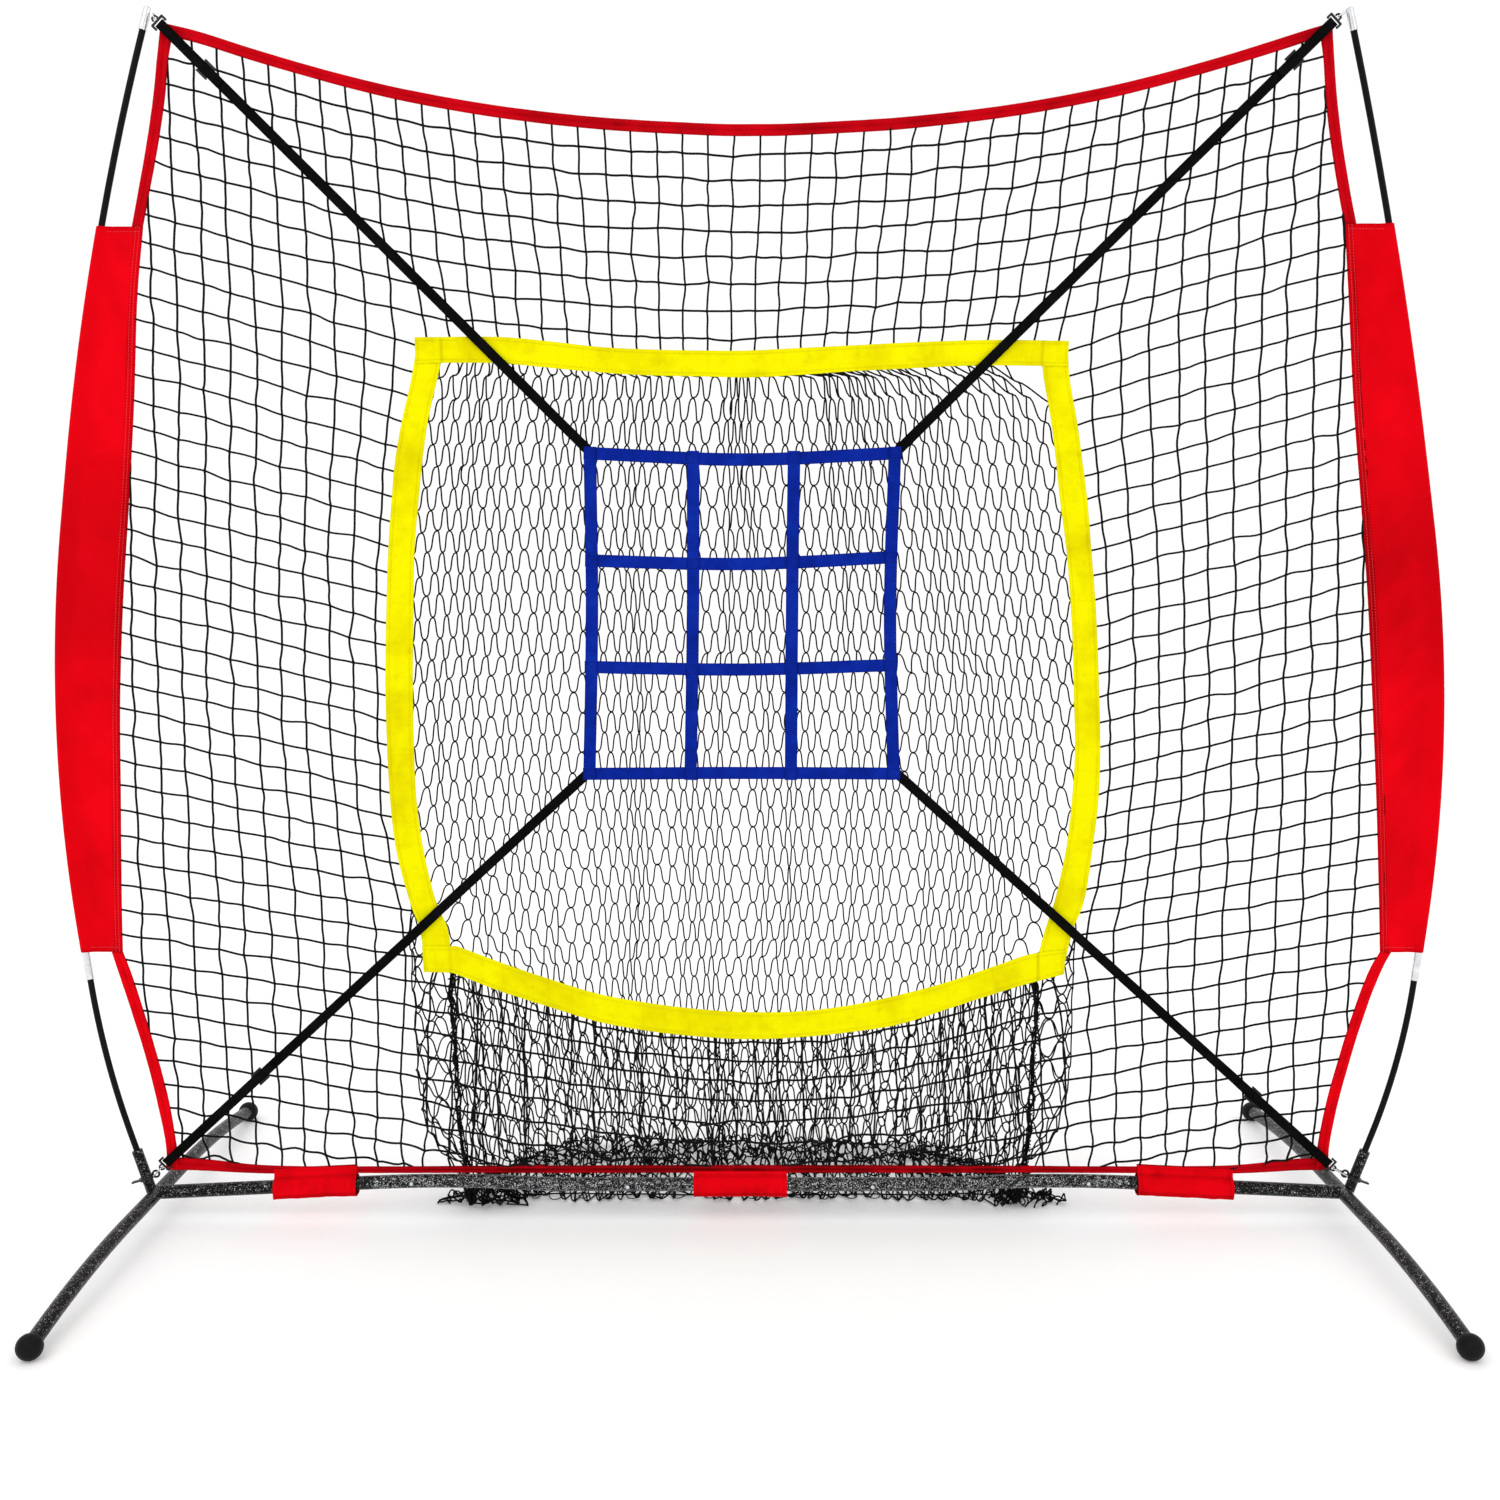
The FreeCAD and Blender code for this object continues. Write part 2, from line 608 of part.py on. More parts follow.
# four ferrule tubes, one object
members = []
for name, side in SIDES:
    for key in ("joint1", "joint2"):
        tag = "ferrule_%s_%s" % (name, key)
        begin(tag)
        outer = cylinder(tag + "_outer", "ferrule_outer", "ferrule_length")
        inner = cylinder(tag + "_bore", "ferrule_bore", "ferrule_length")
        cut = boolean("Cut", tag, outer, inner)
        doc.recompute()
        out, up, heading = POLE[name]["at"](POLE[name]["chains"][key])
        d = (side * math.sin(heading), math.cos(heading))
        hl = VALUE["ferrule_length"] / 2
        place(cut, side * out - d[0] * hl, 0, up - d[1] * hl, Rotation(Vector(0, 0, 1), Vector(d[0], 0, d[1])))
        members.append(cut)
ferrules = doc.addObject("Part::Compound", "pole_ferrules")
ferrules.Label = "pole_ferrules"
ferrules.Links = members
PARTS.append(ferrules)

# ================================================================ collars with a link eye at the foot of each socket
members = []
cell("collar_outer", 27.0)
cell("collar_height", 6.0)
cell("collar_base", 24.0)
cell("collar_hole", 19.1)
cell("collar_tab_length", 12.0)
cell("collar_tab_width", 8.0)
ready()
for name, side in SIDES:
    tag = "collar_" + name
    begin(tag)
    disc = cylinder(tag + "_disc", "collar_outer", "collar_height")
    hole = cylinder(tag + "_hole", "collar_hole", "collar_height")
    tab = doc.addObject("Part::Box", tag + "_tab")
    tab.setExpression("Length", ex("collar_tab_length") + " + 8")
    tab.setExpression("Width", ex("collar_tab_width"))
    tab.setExpression("Height", ex("collar_height") + " / 2")
    tab.Placement = Placement(Vector(-VALUE["collar_tab_length"] - 17.0, -VALUE["collar_tab_width"] / 2, 0), Rotation())
    eye = doc.addObject("Part::Torus", tag + "_eye")
    eye.Radius1 = 6.0
    eye.Radius2 = 2.0
    eye.Placement = Placement(Vector(18.5, 0, 5.0), Rotation(Vector(1, 0, 0), 90))
    a1 = boolean("Fuse", tag + "_a", disc, tab)
    a2 = boolean("Fuse", tag + "_b", a1, eye)
    cut = boolean("Cut", tag, a2, hole)
    doc.recompute()
    a0 = math.radians(VALUE["pole_angle_" + name])
    start = (VALUE["pole_foot_x_" + name], VALUE["pole_foot_z"])
    up = VALUE["collar_base"]
    zdir = Vector(side * math.sin(a0), 0, math.cos(a0))
    xdir = Vector(-side * math.cos(a0), 0, math.sin(a0))
    place(cut, side * (start[0] + up * math.sin(a0)), 0, start[1] + up * math.cos(a0), Rotation(xdir, zdir.cross(xdir), zdir, "ZXY"))
    members.append(cut)
hooks = doc.addObject("Part::Compound", "tee_hooks")
hooks.Label = "tee_hooks"
hooks.Links = members
PARTS.append(hooks)

# ================================================================ cloth outlines (x magnitude, z), left and right
INNER = {   # net edge beside the sleeve, top to bottom
    "left": [(1046.2, 1785.0), (1062.2, 1662.1), (1075.4, 1492.3), (1092.3, 1319.8), (1111.2, 1144.7), (1125.1, 967.0), (1132.5, 786.5), (1139.7, 603.2), (1142.2, 507.5)],
    "right": [(1025.2, 1790.0), (1037.9, 1662.1), (1053.7, 1492.3), (1074.6, 1319.8), (1095.3, 1144.7), (1111.8, 967.0), (1127.5, 786.5), (1141.0, 603.2), (1147.2, 507.0)],
}
SLEEVE_Z = {"left": (1785.0, 507.5), "right": (1790.0, 507.0)}
UPPER_OUT = {
    "left": [(1000.5, 2119.5), (1009.5, 2059.8), (1019.3, 1994.5), (1035.6, 1912.3), (1053.4, 1834.0), (1065.0, 1785.6)],
    "right": [(988.5, 2119.5), (994.2, 2059.8), (1002.3, 1994.5), (1016.5, 1912.3), (1033.5, 1834.0), (1044.5, 1790.6)],
}
UPPER_IN = {
    "left": [(985.5, 2087.0), (990.8, 2059.8), (999.7, 1994.5), (1016.2, 1912.3), (1034.4, 1834.0), (1046.2, 1785.6)],
    "right": [(974.0, 2087.4), (976.5, 2059.8), (983.5, 1994.5), (997.4, 1912.3), (1013.9, 1834.0), (1025.2, 1790.6)],
}
LOWER_OUT = {
    "left": [(1162.0, 506.9), (1152.5, 473.2), (1136.9, 417.0), (1112.0, 322.8), (1092.4, 227.9), (1079.5, 142.4), (1081.0, 94.5)],
    "right": [(1167.0, 506.4), (1151.0, 473.2), (1131.4, 417.0), (1105.6, 322.8), (1084.2, 227.9), (1070.7, 142.4), (1072.0, 94.5)],
}
LOWER_IN = {
    "left": [(1142.2, 506.9), (1130.6, 473.2), (1115.0, 417.0), (1090.9, 322.8), (1071.3, 227.9), (1060.9, 146.1), (1058.0, 121.2)],
    "right": [(1147.2, 506.4), (1129.8, 473.2), (1110.5, 417.0), (1085.0, 322.8), (1063.0, 227.9), (1050.4, 146.1), (1047.0, 120.2)],
}
TOP_HALF = [(934.4, 2105.3, 2086.0), (850.5, 2079.3, 2060.0), (766.3, 2054.9, 2036.0), (681.8, 2032.9, 2013.6), (575.0, 2009.2, 1989.6), (427.1, 1984.5, 1965.0), (256.4, 1966.0, 1946.4), (85.5, 1956.3, 1937.0)]
BOTTOM_HALF = [(1010.0, 114.9, 93.0), (897.0, 103.0, 87.5), (741.0, 100.5, 88.0), (600.0, 101.0, 88.5), (463.0, 101.8, 88.5), (200.0, 102.8, 88.5)]

# top binding: the four bindings butt at the corners with a hair's gap
top_up = [(-1000.0, 2121.0)] + [(-x, a) for x, a, b in TOP_HALF] + [(0.0, 1954.8)] + [(x, a) for x, a, b in reversed(TOP_HALF)] + [(988.0, 2121.0)]
top_lo = [(973.4, 2088.0)] + [(x, b) for x, a, b in TOP_HALF] + [(0.0, 1935.4)] + [(-x, b) for x, a, b in reversed(TOP_HALF)] + [(-984.9, 2087.6)]
plate("top_binding", top_up + top_lo, "binding_thickness")

bot_up = [(-1057.4, 120.7)] + [(-x, a) for x, a, b in BOTTOM_HALF] + [(0.0, 103.2)] + [(x, a) for x, a, b in reversed(BOTTOM_HALF)] + [(1046.4, 119.6)]
bot_lo = [(1070.6, 94.3)] + [(x, b) for x, a, b in BOTTOM_HALF] + [(0.0, 88.5)] + [(-x, b) for x, a, b in reversed(BOTTOM_HALF)] + [(-1079.6, 94.3)]
plate("bottom_binding", bot_up + bot_lo, "binding_thickness")

for name, side in SIDES:
    upper = [(side * x, z) for x, z in UPPER_OUT[name]] + [(side * x, z) for x, z in reversed(UPPER_IN[name])]
    plate("side_binding_upper_" + name, upper, "binding_thickness")
    lower = [(side * x, z) for x, z in LOWER_OUT[name]] + [(side * x, z) for x, z in reversed(LOWER_IN[name])]
    plate("side_binding_lower_" + name, lower, "binding_thickness")

# side sleeves: flat cloth tubes round the poles, open at the top and the bottom
for name, side in SIDES:
    info = POLE[name]
    line = []
    chain = info["chains"]["tip"]
    # sample the pole's centre line by height
    samples = []
    fine = []
    a0 = math.radians(VALUE["pole_angle_" + name])
    start = (VALUE["pole_foot_x_" + name], VALUE["pole_foot_z"])
    x, z, h = start[0], start[1], a0
    for kind, v, a, sg in seg_list(chain):
        length = v if kind == "line" else v * a
        steps = max(int(length / 5), 1)
        for i in range(steps):
            dh = -(a / steps) if kind == "arc" else 0.0
            x += length / steps * math.sin(h + dh / 2)
            z += length / steps * math.cos(h + dh / 2)
            h += dh
            fine.append((x, z))
    hi, lo = SLEEVE_Z[name]
    heights = [hi, 1720.0, 1640.0, 1560.0, 1480.0, 1400.0, 1320.0, 1240.0, 1160.0, 1080.0, 1000.0, 920.0, 840.0, 760.0, 680.0, 590.0, lo]
    centre = []
    for zz in heights:
        for p, q in zip(fine, fine[1:]):
            if p[1] <= zz <= q[1]:
                t = (zz - p[1]) / (q[1] - p[1])
                centre.append((p[0] + t * (q[0] - p[0]), zz))
                break
    # going down, outboard is on the left of travel when x is mirrored to the left side, so use a signed offset
    stand = 11.9 if name == "left" else 10.0
    outer = [(px, pz) for px, pz in offset_line(centre, stand)]
    cavity_out = [(px, pz) for px, pz in offset_line(centre, 8.5)]
    if outer[5][0] < centre[5][0]:
        outer = offset_line(centre, -stand)
        cavity_out = offset_line(centre, -8.5)
    outer[0] = (outer[0][0], hi)
    outer[-1] = (outer[-1][0], lo)
    POLE[name]["sleeve_outer"] = outer
    inner = INNER[name]
    poly = [(side * px, pz) for px, pz in outer] + [(side * px, pz) for px, pz in reversed(inner)]
    body = new_body("side_sleeve_" + name)
    sk = polygon_sketch(body, "outline", poly)
    pad(body, "cloth", sk, "sleeve_thickness", midplane=True)
    w = VALUE["sleeve_wall"]
    cav = [(cavity_out[0][0] - 2.0, hi + 6.0)] + cavity_out[1:-1] + [(cavity_out[-1][0], lo - 6.0)]
    cav_in = [(inner[0][0] + w + 1.0, hi + 6.0)] + [(px + w + 1.0, pz) for px, pz in inner[1:-1]] + [(inner[-1][0] + w + 1.0, lo - 6.0)]
    poly = [(side * px, pz) for px, pz in cav] + [(side * px, pz) for px, pz in reversed(cav_in)]
    sk = polygon_sketch(body, "hollow", poly)
    pad(body, "hollow_cut", sk, "sleeve_cavity", midplane=True, cut=True)
    place(body, 0, 0, 0)
    PARTS.append(body)

# ================================================================ yellow frame of the catching mouth: four bands
YL_OUT = [(-590.3, 1526.1), (-607.8, 1457.7), (-621.8, 1388.9), (-629.9, 1319.7), (-638.4, 1232.6), (-643.5, 1144.8), (-647.7, 1056.4), (-650.2, 967.2), (-650.0, 877.4), (-647.1, 786.9), (-638.8, 695.8), (-617.7, 603.8), (-599.2, 548.4)]
YL_IN = [(-545.0, 1526.1), (-562.3, 1457.7), (-573.7, 1388.9), (-582.4, 1319.7), (-591.7, 1232.6), (-595.7, 1144.8), (-598.9, 1056.4), (-601.2, 967.2), (-601.7, 877.4), (-599.5, 786.9), (-589.2, 695.8), (-569.7, 603.8), (-548.4, 548.4)]
YR_OUT = [(557.2, 1526.1), (571.1, 1457.7), (582.4, 1388.9), (593.0, 1319.7), (602.3, 1232.6), (611.6, 1144.8), (618.4, 1056.4), (623.5, 967.2), (627.6, 877.4), (626.5, 786.9), (618.1, 695.8), (606.0, 603.8), (586.5, 548.4)]
YR_IN = [(511.9, 1526.1), (525.7, 1457.7), (536.0, 1388.9), (544.7, 1319.7), (558.2, 1232.6), (567.4, 1144.8), (574.0, 1056.4), (578.0, 967.2), (582.0, 877.4), (578.8, 786.9), (570.2, 695.8), (552.5, 603.8), (535.7, 548.4)]
YT_OUT = [(-579.7, 1599.1), (-433.9, 1599.1), (-347.2, 1591.5), (-260.5, 1582.2), (-173.7, 1577.9), (-86.9, 1576.2), (0.0, 1576.2), (86.9, 1580.5), (173.7, 1584.7), (260.5, 1589.0), (347.2, 1592.4), (434.0, 1594.1), (552.1, 1592.4)]
YT_IN = [(-533.9, 1555.0), (-434.8, 1554.2), (-347.9, 1546.5), (-261.0, 1538.8), (-174.1, 1533.7), (-87.0, 1532.0), (0.0, 1530.3), (87.0, 1534.6), (174.0, 1540.6), (261.0, 1544.8), (347.9, 1549.1), (434.8, 1550.8), (506.2, 1549.9)]
YB_OUT = [(-592.1, 470.2), (-528.5, 463.7), (-456.1, 434.7), (-365.4, 404.8), (-274.3, 376.6), (-183.0, 359.6), (-91.6, 349.3), (0.0, 344.6), (91.6, 348.3), (183.0, 357.8), (274.4, 372.8), (365.4, 402.9), (456.2, 432.9), (510.5, 449.7), (570.3, 466.5)]
YB_IN = [(-543.6, 518.7), (-527.2, 516.7), (-455.1, 488.9), (-364.6, 457.2), (-273.7, 429.1), (-182.6, 412.3), (-91.4, 401.0), (0.0, 395.4), (91.4, 397.2), (182.6, 408.5), (273.7, 428.2), (364.6, 453.4), (455.2, 485.2), (509.4, 503.8), (520.1, 511.2)]

# the upright bands run between the top and bottom bands
left_band = [(-580.6, 1554.4)] + YL_OUT + [(-594.4, 520.4)] + [(-545.2, 519.4)] + list(reversed(YL_IN)) + [(-538.4, 1554.4)]
plate("mouth_band_left", left_band, "band_thickness", "band_y")
right_band = [(552.1, 1549.4)] + YR_OUT + [(572.0, 513.4)] + [(522.6, 512.6)] + list(reversed(YR_IN)) + [(508.6, 1549.4)]
plate("mouth_band_right", right_band, "band_thickness", "band_y")
top_band = YT_OUT + [(552.1, 1549.9)] + list(reversed(YT_IN)) + [(-580.6, 1555.0)]
plate("mouth_band_top", top_band, "band_thickness", "band_y")
bottom_band = YB_OUT + [(571.5, 511.8)] + list(reversed(YB_IN)) + [(-594.0, 519.0)]
plate("mouth_band_bottom", bottom_band, "band_thickness", "band_y")

# ================================================================ the net itself: one sheet with the mouth cut out of it
gap = 0.6
net_outer = [(-984.0, 2086.6)]
net_outer += [(-x, b - gap) for x, a, b in TOP_HALF] + [(0.0, 1935.4 - gap)] + [(x, b - gap) for x, a, b in reversed(TOP_HALF)] + [(972.6, 2086.8)]
net_outer += [(x - gap, z) for x, z in UPPER_IN["right"][1:-1]]
net_outer += [(x - gap, z) for x, z in INNER["right"]]
net_outer += [(x - gap, z) for x, z in LOWER_IN["right"][1:-1]] + [(1045.6, 120.9)]
net_outer += [(x, a + gap) for x, a, b in BOTTOM_HALF] + [(0.0, 103.2 + gap)] + [(-x, a + gap) for x, a, b in reversed(BOTTOM_HALF)]
net_outer += [(-1056.6, 121.9)] + [(-(x - gap), z) for x, z in reversed(LOWER_IN["left"][1:-1])]
net_outer += [(-(x - gap), z) for x, z in reversed(INNER["left"])]
net_outer += [(-(x - gap), z) for x, z in reversed(UPPER_IN["left"][1:-1])]


def mid_line(a, b):
    return [((p[0] + q[0]) / 2, (p[1] + q[1]) / 2) for p, q in zip(a, b)]


net_hole = mid_line(YT_OUT, YT_IN) + mid_line(YR_OUT, YR_IN)[1:] + list(reversed(mid_line(YB_OUT, YB_IN))) + list(reversed(mid_line(YL_OUT, YL_IN)[1:]))
MOUTH = net_hole
body = new_body("target_net")
sk = polygon_sketch(body, "outline", net_outer)
pad(body, "sheet", sk, "net_thickness", midplane=True)
sk = polygon_sketch(body, "mouth", net_hole)
cell("mouth_cut", 10.0)
ready()
pad(body, "mouth_cut", sk, "mouth_cut", midplane=True, cut=True)
place(body, 0, 0, 0)
PARTS.append(body)

# ================================================================ catch pocket: a thin walled bag open at the front
# side profile (y, z): hangs from the mouth, slopes back and lies on the ground behind the bar
pocket_half = 612.0
cell("pocket_width", 2 * pocket_half)
cell("pocket_inner_width", 2 * pocket_half - 2 * VALUE["pocket_wall"])
ready()
y0 = VALUE["pocket_front_y"]
wall = VALUE["pocket_wall"]
outer = [(y0, 1588.0), (24.0, 1590.0), (150.0, 1240.0), (262.0, 800.0), (345.0, 400.0), (400.0, 90.0), (418.0, 22.0), (400.0, 3.0), (60.0, 3.0), (26.0, 14.0), (22.0, 120.0), (y0, 352.0)]
inner = [(y0 - 6.0, 1588.0 - wall), (23.2, 1590.0 - wall - 0.3), (148.8, 1239.6), (260.8, 799.7), (343.8, 399.8), (398.8, 89.8), (416.7, 22.2), (399.5, 4.2), (60.5, 4.2), (27.2, 14.9), (23.3, 120.3), (3.8, 352.0), (y0 - 6.0, 352.0 + wall)]
body = new_body("catch_pocket")
sk = polygon_sketch(body, "profile", outer, role="YZ_Plane")
pad(body, "bag", sk, "pocket_width", midplane=True)
sk = polygon_sketch(body, "inside", inner, role="YZ_Plane")
pad(body, "inside_cut", sk, "pocket_inner_width", midplane=True, cut=True)
place(body, -11.0, 0, 0)
PARTS.append(body)

# ================================================================ strike zone: four uprights over four crossbars
UP = [[(-279.1, 1411.0), (-279.0, 1123.9), (-287.1, 825.0)], [(-99.4, 1404.0), (-100.7, 1123.9), (-106.4, 824.5)],
      [(76.8, 1404.0), (74.2, 1123.9), (73.3, 824.5)], [(252.9, 1411.0), (247.2, 1123.9), (257.0, 825.0)]]
CROSS = [[(-290.5, 1400.3), (-14.0, 1389.1), (264.8, 1400.3)], [(-290.3, 1214.1), (-14.1, 1208.0), (258.6, 1220.2)],
         [(-293.4, 1026.7), (-14.2, 1022.3), (261.0, 1030.2)], [(-298.6, 835.4), (-14.3, 837.1), (268.6, 836.0)]]
half_w = VALUE["webbing_width"] / 2


def strip_outline(points, half_width):
    left = offset_line(points, half_width)
    right = offset_line(points, -half_width)
    return left + list(reversed(right))


def strips(label, lines, thickness, y_alias):
    parts_ = []
    for i, line in enumerate(lines):
        body = new_body("%s_%d" % (label, i + 1))
        sk = polygon_sketch(body, "outline", strip_outline(line, half_w))
        pad(body, "web", sk, thickness, midplane=True)
        place(body, 0, VALUE[y_alias], 0)
        body.setExpression("Placement.Base.y", ex(y_alias))
        parts_.append(body)
    group = doc.addObject("Part::Compound", label)
    group.Label = label
    group.Links = parts_
    PARTS.append(group)
    return group


strips("strike_zone_uprights", UP, "upright_thickness", "upright_y")
strips("strike_zone_crossbars", CROSS, "crossbar_thickness", "crossbar_y")

# ================================================================ corner straps, sliders, hooks and links
# inner end (at the strike zone's corner), outer end (the hook's loop), slider place
STRAPS = {
    "top_left": ((-276.0, 1398.5), (-1000.0, 2117.0), (-928.0, 2036.0)),
    "top_right": ((255.0, 1401.5), (988.0, 2120.0), (927.0, 2052.0)),
    "bottom_left": ((-288.0, 838.5), (-1078.0, 109.8), (-900.5, 281.4)),
    "bottom_right": ((260.0, 838.5), (1069.4, 107.6), (913.5, 232.0)),
}
ANCHOR = {}
for name, side in SIDES:
    out, up, heading = POLE[name]["at"](POLE[name]["chains"]["tip"])
    c, s_ = math.cos(heading), math.sin(heading)
    # tip eye: 13.5 inboard and 30.5 up the cap
    ANCHOR["top_" + name] = (side * (out - 13.5 * c + 30.5 * s_), up + 13.5 * s_ + 30.5 * c)
    a0 = math.radians(VALUE["pole_angle_" + name])
    c, s_ = math.cos(a0), math.sin(a0)
    sx, sz = VALUE["pole_foot_x_" + name], VALUE["pole_foot_z"]
    up2 = VALUE["collar_base"] + 5.0
    ANCHOR["bottom_" + name] = (side * (sx + up2 * s_ - 18.5 * c), sz + up2 * c + 18.5 * s_)
    print("anchor", name, ANCHOR["top_" + name], ANCHOR["bottom_" + name])

cell("slider_plate", 1.0)
cell("slider_rail", 4.6)
hook_solids, link_solids = [], []
SLIDER_AXES = {}
for key in ("top_left", "top_right", "bottom_left", "bottom_right"):
    (ix, iz), (hx, hz), (sx, sz) = STRAPS[key]
    length = math.hypot(hx - ix, hz - iz)
    d = ((hx - ix) / length, (hz - iz) / length)
    n = (-d[1], d[0])
    # slider's distance from the inner end, measured along the strap
    s_at = (sx - ix) * d[0] + (sz - iz) * d[1]
    w = VALUE["strap_width"] / 2

    def quad(a, b, half):
        return [(ix + d[0] * a + n[0] * half, iz + d[1] * a + n[1] * half), (ix + d[0] * b + n[0] * half, iz + d[1] * b + n[1] * half),
                (ix + d[0] * b - n[0] * half, iz + d[1] * b - n[1] * half), (ix + d[0] * a - n[0] * half, iz + d[1] * a - n[1] * half)]

    # the webbing runs out to the hook's bar on the back, folds round it and comes back on the front to the slider
    body = new_body("corner_strap_" + key)
    back_y, front_y = VALUE["strap_back_y"], VALUE["strap_front_y"]
    bt, ft = VALUE["strap_back_thickness"], VALUE["strap_front_thickness"]
    sk = polygon_sketch(body, "back", quad(0.0, length - 3.0, w))
    pad(body, "back_web", sk, "strap_back_thickness", midplane=True)
    place(body, 0, back_y, 0)
    # folded-back layer with its bend, seen edge on, padded across the strap
    fold = doc.addObject("PartDesign::Body", "fold_" + key)
    y_back_out = 0.7
    y_front_out = front_y - back_y - 0.7
    a0_, b0_ = s_at - 34.0, length
    side_view = [(a0_, y_front_out), (b0_ - 2.0, y_front_out), (b0_, y_front_out + 1.6), (b0_, y_back_out - 1.6), (b0_ - 2.0, y_back_out),
                 (b0_ - 6.0, y_back_out), (b0_ - 6.0, y_back_out - 1.4), (b0_ - 3.2, y_back_out - 1.4), (b0_ - 2.6, y_back_out - 1.9), (b0_ - 2.6, y_front_out + 1.9), (b0_ - 3.2, y_front_out + 1.4), (a0_, y_front_out + 1.4)]
    sk2 = polygon_sketch(fold, "side", side_view, role="XY_Plane")
    cell("strap_width", 2 * w)
    pad(fold, "web", sk2, "strap_width", midplane=True)
    fold.Placement = Placement(Vector(ix, back_y, iz), Rotation(Vector(d[0], 0, d[1]), Vector(0, 1, 0), Vector(d[0], 0, d[1]).cross(Vector(0, 1, 0)), "XYZ"))
    doc.recompute()
    strap = boolean("Fuse", "strap_" + key, body, fold)
    body.Label = "back_web_" + key
    strap.Label = "corner_strap_" + key
    PARTS.append(strap)

    # slider: a thin ladder between the two layers with raised side rails
    lab = "strap_slider_" + key
    body = new_body(lab)
    hw = w + 1.0
    sk = new_sketch(body, "plate", "XY_Plane")
    rects = [(-11.0, -hw - 3.4, 11.0, hw + 3.4), (-8.0, -w + 1.0, -1.6, w - 1.0), (1.6, -w + 1.0, 8.0, w - 1.0)]
    gi = 0
    for x1, y1, x2, y2 in rects:
        corners = [(x1, y1), (x2, y1), (x2, y2), (x1, y2)]
        for i in range(4):
            p, q = corners[i], corners[(i + 1) % 4]
            sk.addGeometry(Part.LineSegment(Vector(p[0], p[1], 0), Vector(q[0], q[1], 0)))
        for i in range(4):
            sk.addConstraint(Sketcher.Constraint("Coincident", gi + i, 2, gi + (i + 1) % 4, 1))
        for i in range(4):
            for kind, val, ax in (("DistanceX", corners[i][0], "u"), ("DistanceY", corners[i][1], "v")):
                al = cell("slider_%s%d" % (ax, gi + i), val)
                ready()
                c = sk.addConstraint(Sketcher.Constraint(kind, -1, 1, gi + i, 1, float(val)))
                sk.setExpression("Constraints[%d]" % c, ex(al))
        gi += 4
    pad(body, "ladder", sk, "slider_plate", midplane=True)
    for tag, sg in (("a", -1), ("b", 1)):
        lo_, hi_ = sorted((sg * (hw + 0.2), sg * (hw + 3.4)))
        sk = polygon_sketch(body, "rail_" + tag, [(-11.0, lo_), (11.0, lo_), (11.0, hi_), (-11.0, hi_)], role="XY_Plane")
        pad(body, "rail_pad_" + tag, sk, "slider_rail", midplane=True)
    px, pz = ix + d[0] * s_at, iz + d[1] * s_at
    zdir = Vector(0, -1, 0)
    xdir = Vector(d[0], 0, d[1])
    place(body, px, VALUE["slider_y"], pz, Rotation(xdir, zdir.cross(xdir), zdir, "XZY"))
    PARTS.append(body)
    SLIDER_AXES[key] = (d[0], 0.0, d[1], px, pz, length - s_at)

    # hook: a bar inside the strap's fold, two arms and a bent prong that holds the link
    ax_, az_ = ANCHOR[key]
    reach = math.hypot(ax_ - (ix + d[0] * (length - 4.6)), az_ - (iz + d[1] * (length - 4.6)))
    SLIDER_AXES[key] += (reach,)
    bar_c = (ix + d[0] * (length - 4.6), iz + d[1] * (length - 4.6))
    hy = (back_y + front_y) / 2 + 0.0

    def world(along, across, y):
        return Vector(bar_c[0] + d[0] * along + n[0] * across, y, bar_c[1] + d[1] * along + n[1] * across)

    r_bar = 0.55
    arm = w + 3.0
    bar = Part.makeCylinder(r_bar, 2 * arm, world(0, -arm, hy), Vector(n[0], 0, n[1]))
    arm_len = 8.0
    solids = bar
    for sg in (-1, 1):
        p, q = world(-1.5, sg * arm, hy), world(arm_len, sg * arm, hy)
        v = q.sub(p)
        solids = solids.fuse(Part.makeCylinder(2.0, v.Length, p, v))
    neck = Part.makeCylinder(2.0, 2 * arm, world(arm_len, -arm, hy), Vector(n[0], 0, n[1]))
    solids = solids.fuse(neck)
    for sg in (-1, 1):
        solids = solids.fuse(Part.makeSphere(2.0, world(arm_len, sg * arm, hy)))
    # J prong in the strap's plane, past the neck
    hook_r = 4.5
    p0 = world(arm_len, -hook_r, hy)
    p1 = world(arm_len + 5.0, -hook_r, hy)
    pm = world(arm_len + 5.0 + hook_r, 0, hy)
    p2 = world(arm_len + 5.0, hook_r, hy)
    p3 = world(arm_len + 3.6, hook_r, hy)
    path = Part.Wire([Part.LineSegment(p0, p1).toShape(), Part.Arc(p1, pm, p2).toShape(), Part.LineSegment(p2, p3).toShape()])
    ring = Part.Wire([Part.Circle(p0, Vector(d[0], 0, d[1]), 1.7).toShape()])
    prong = path.makePipeShell([ring], True, False)
    solids = solids.fuse(prong)
    solids = solids.removeSplitter()
    hook_solids.append(solids)

    # link: a ring of wire from the prong's bend to the anchor's eye
    a_pt = world(arm_len + 5.0 + hook_r - 3.5, 0, hy)
    b_pt = Vector(ax_, 0, az_)
    link_solids.append((key, a_pt, b_pt))

hooks = doc.addObject("Part::Feature", "strap_hooks")
hooks.Label = "strap_hooks"
hooks.Shape = Part.Compound(hook_solids)
hooks.Placement = Placement(Vector(0, 0, 0), Rotation())
PARTS.append(hooks)

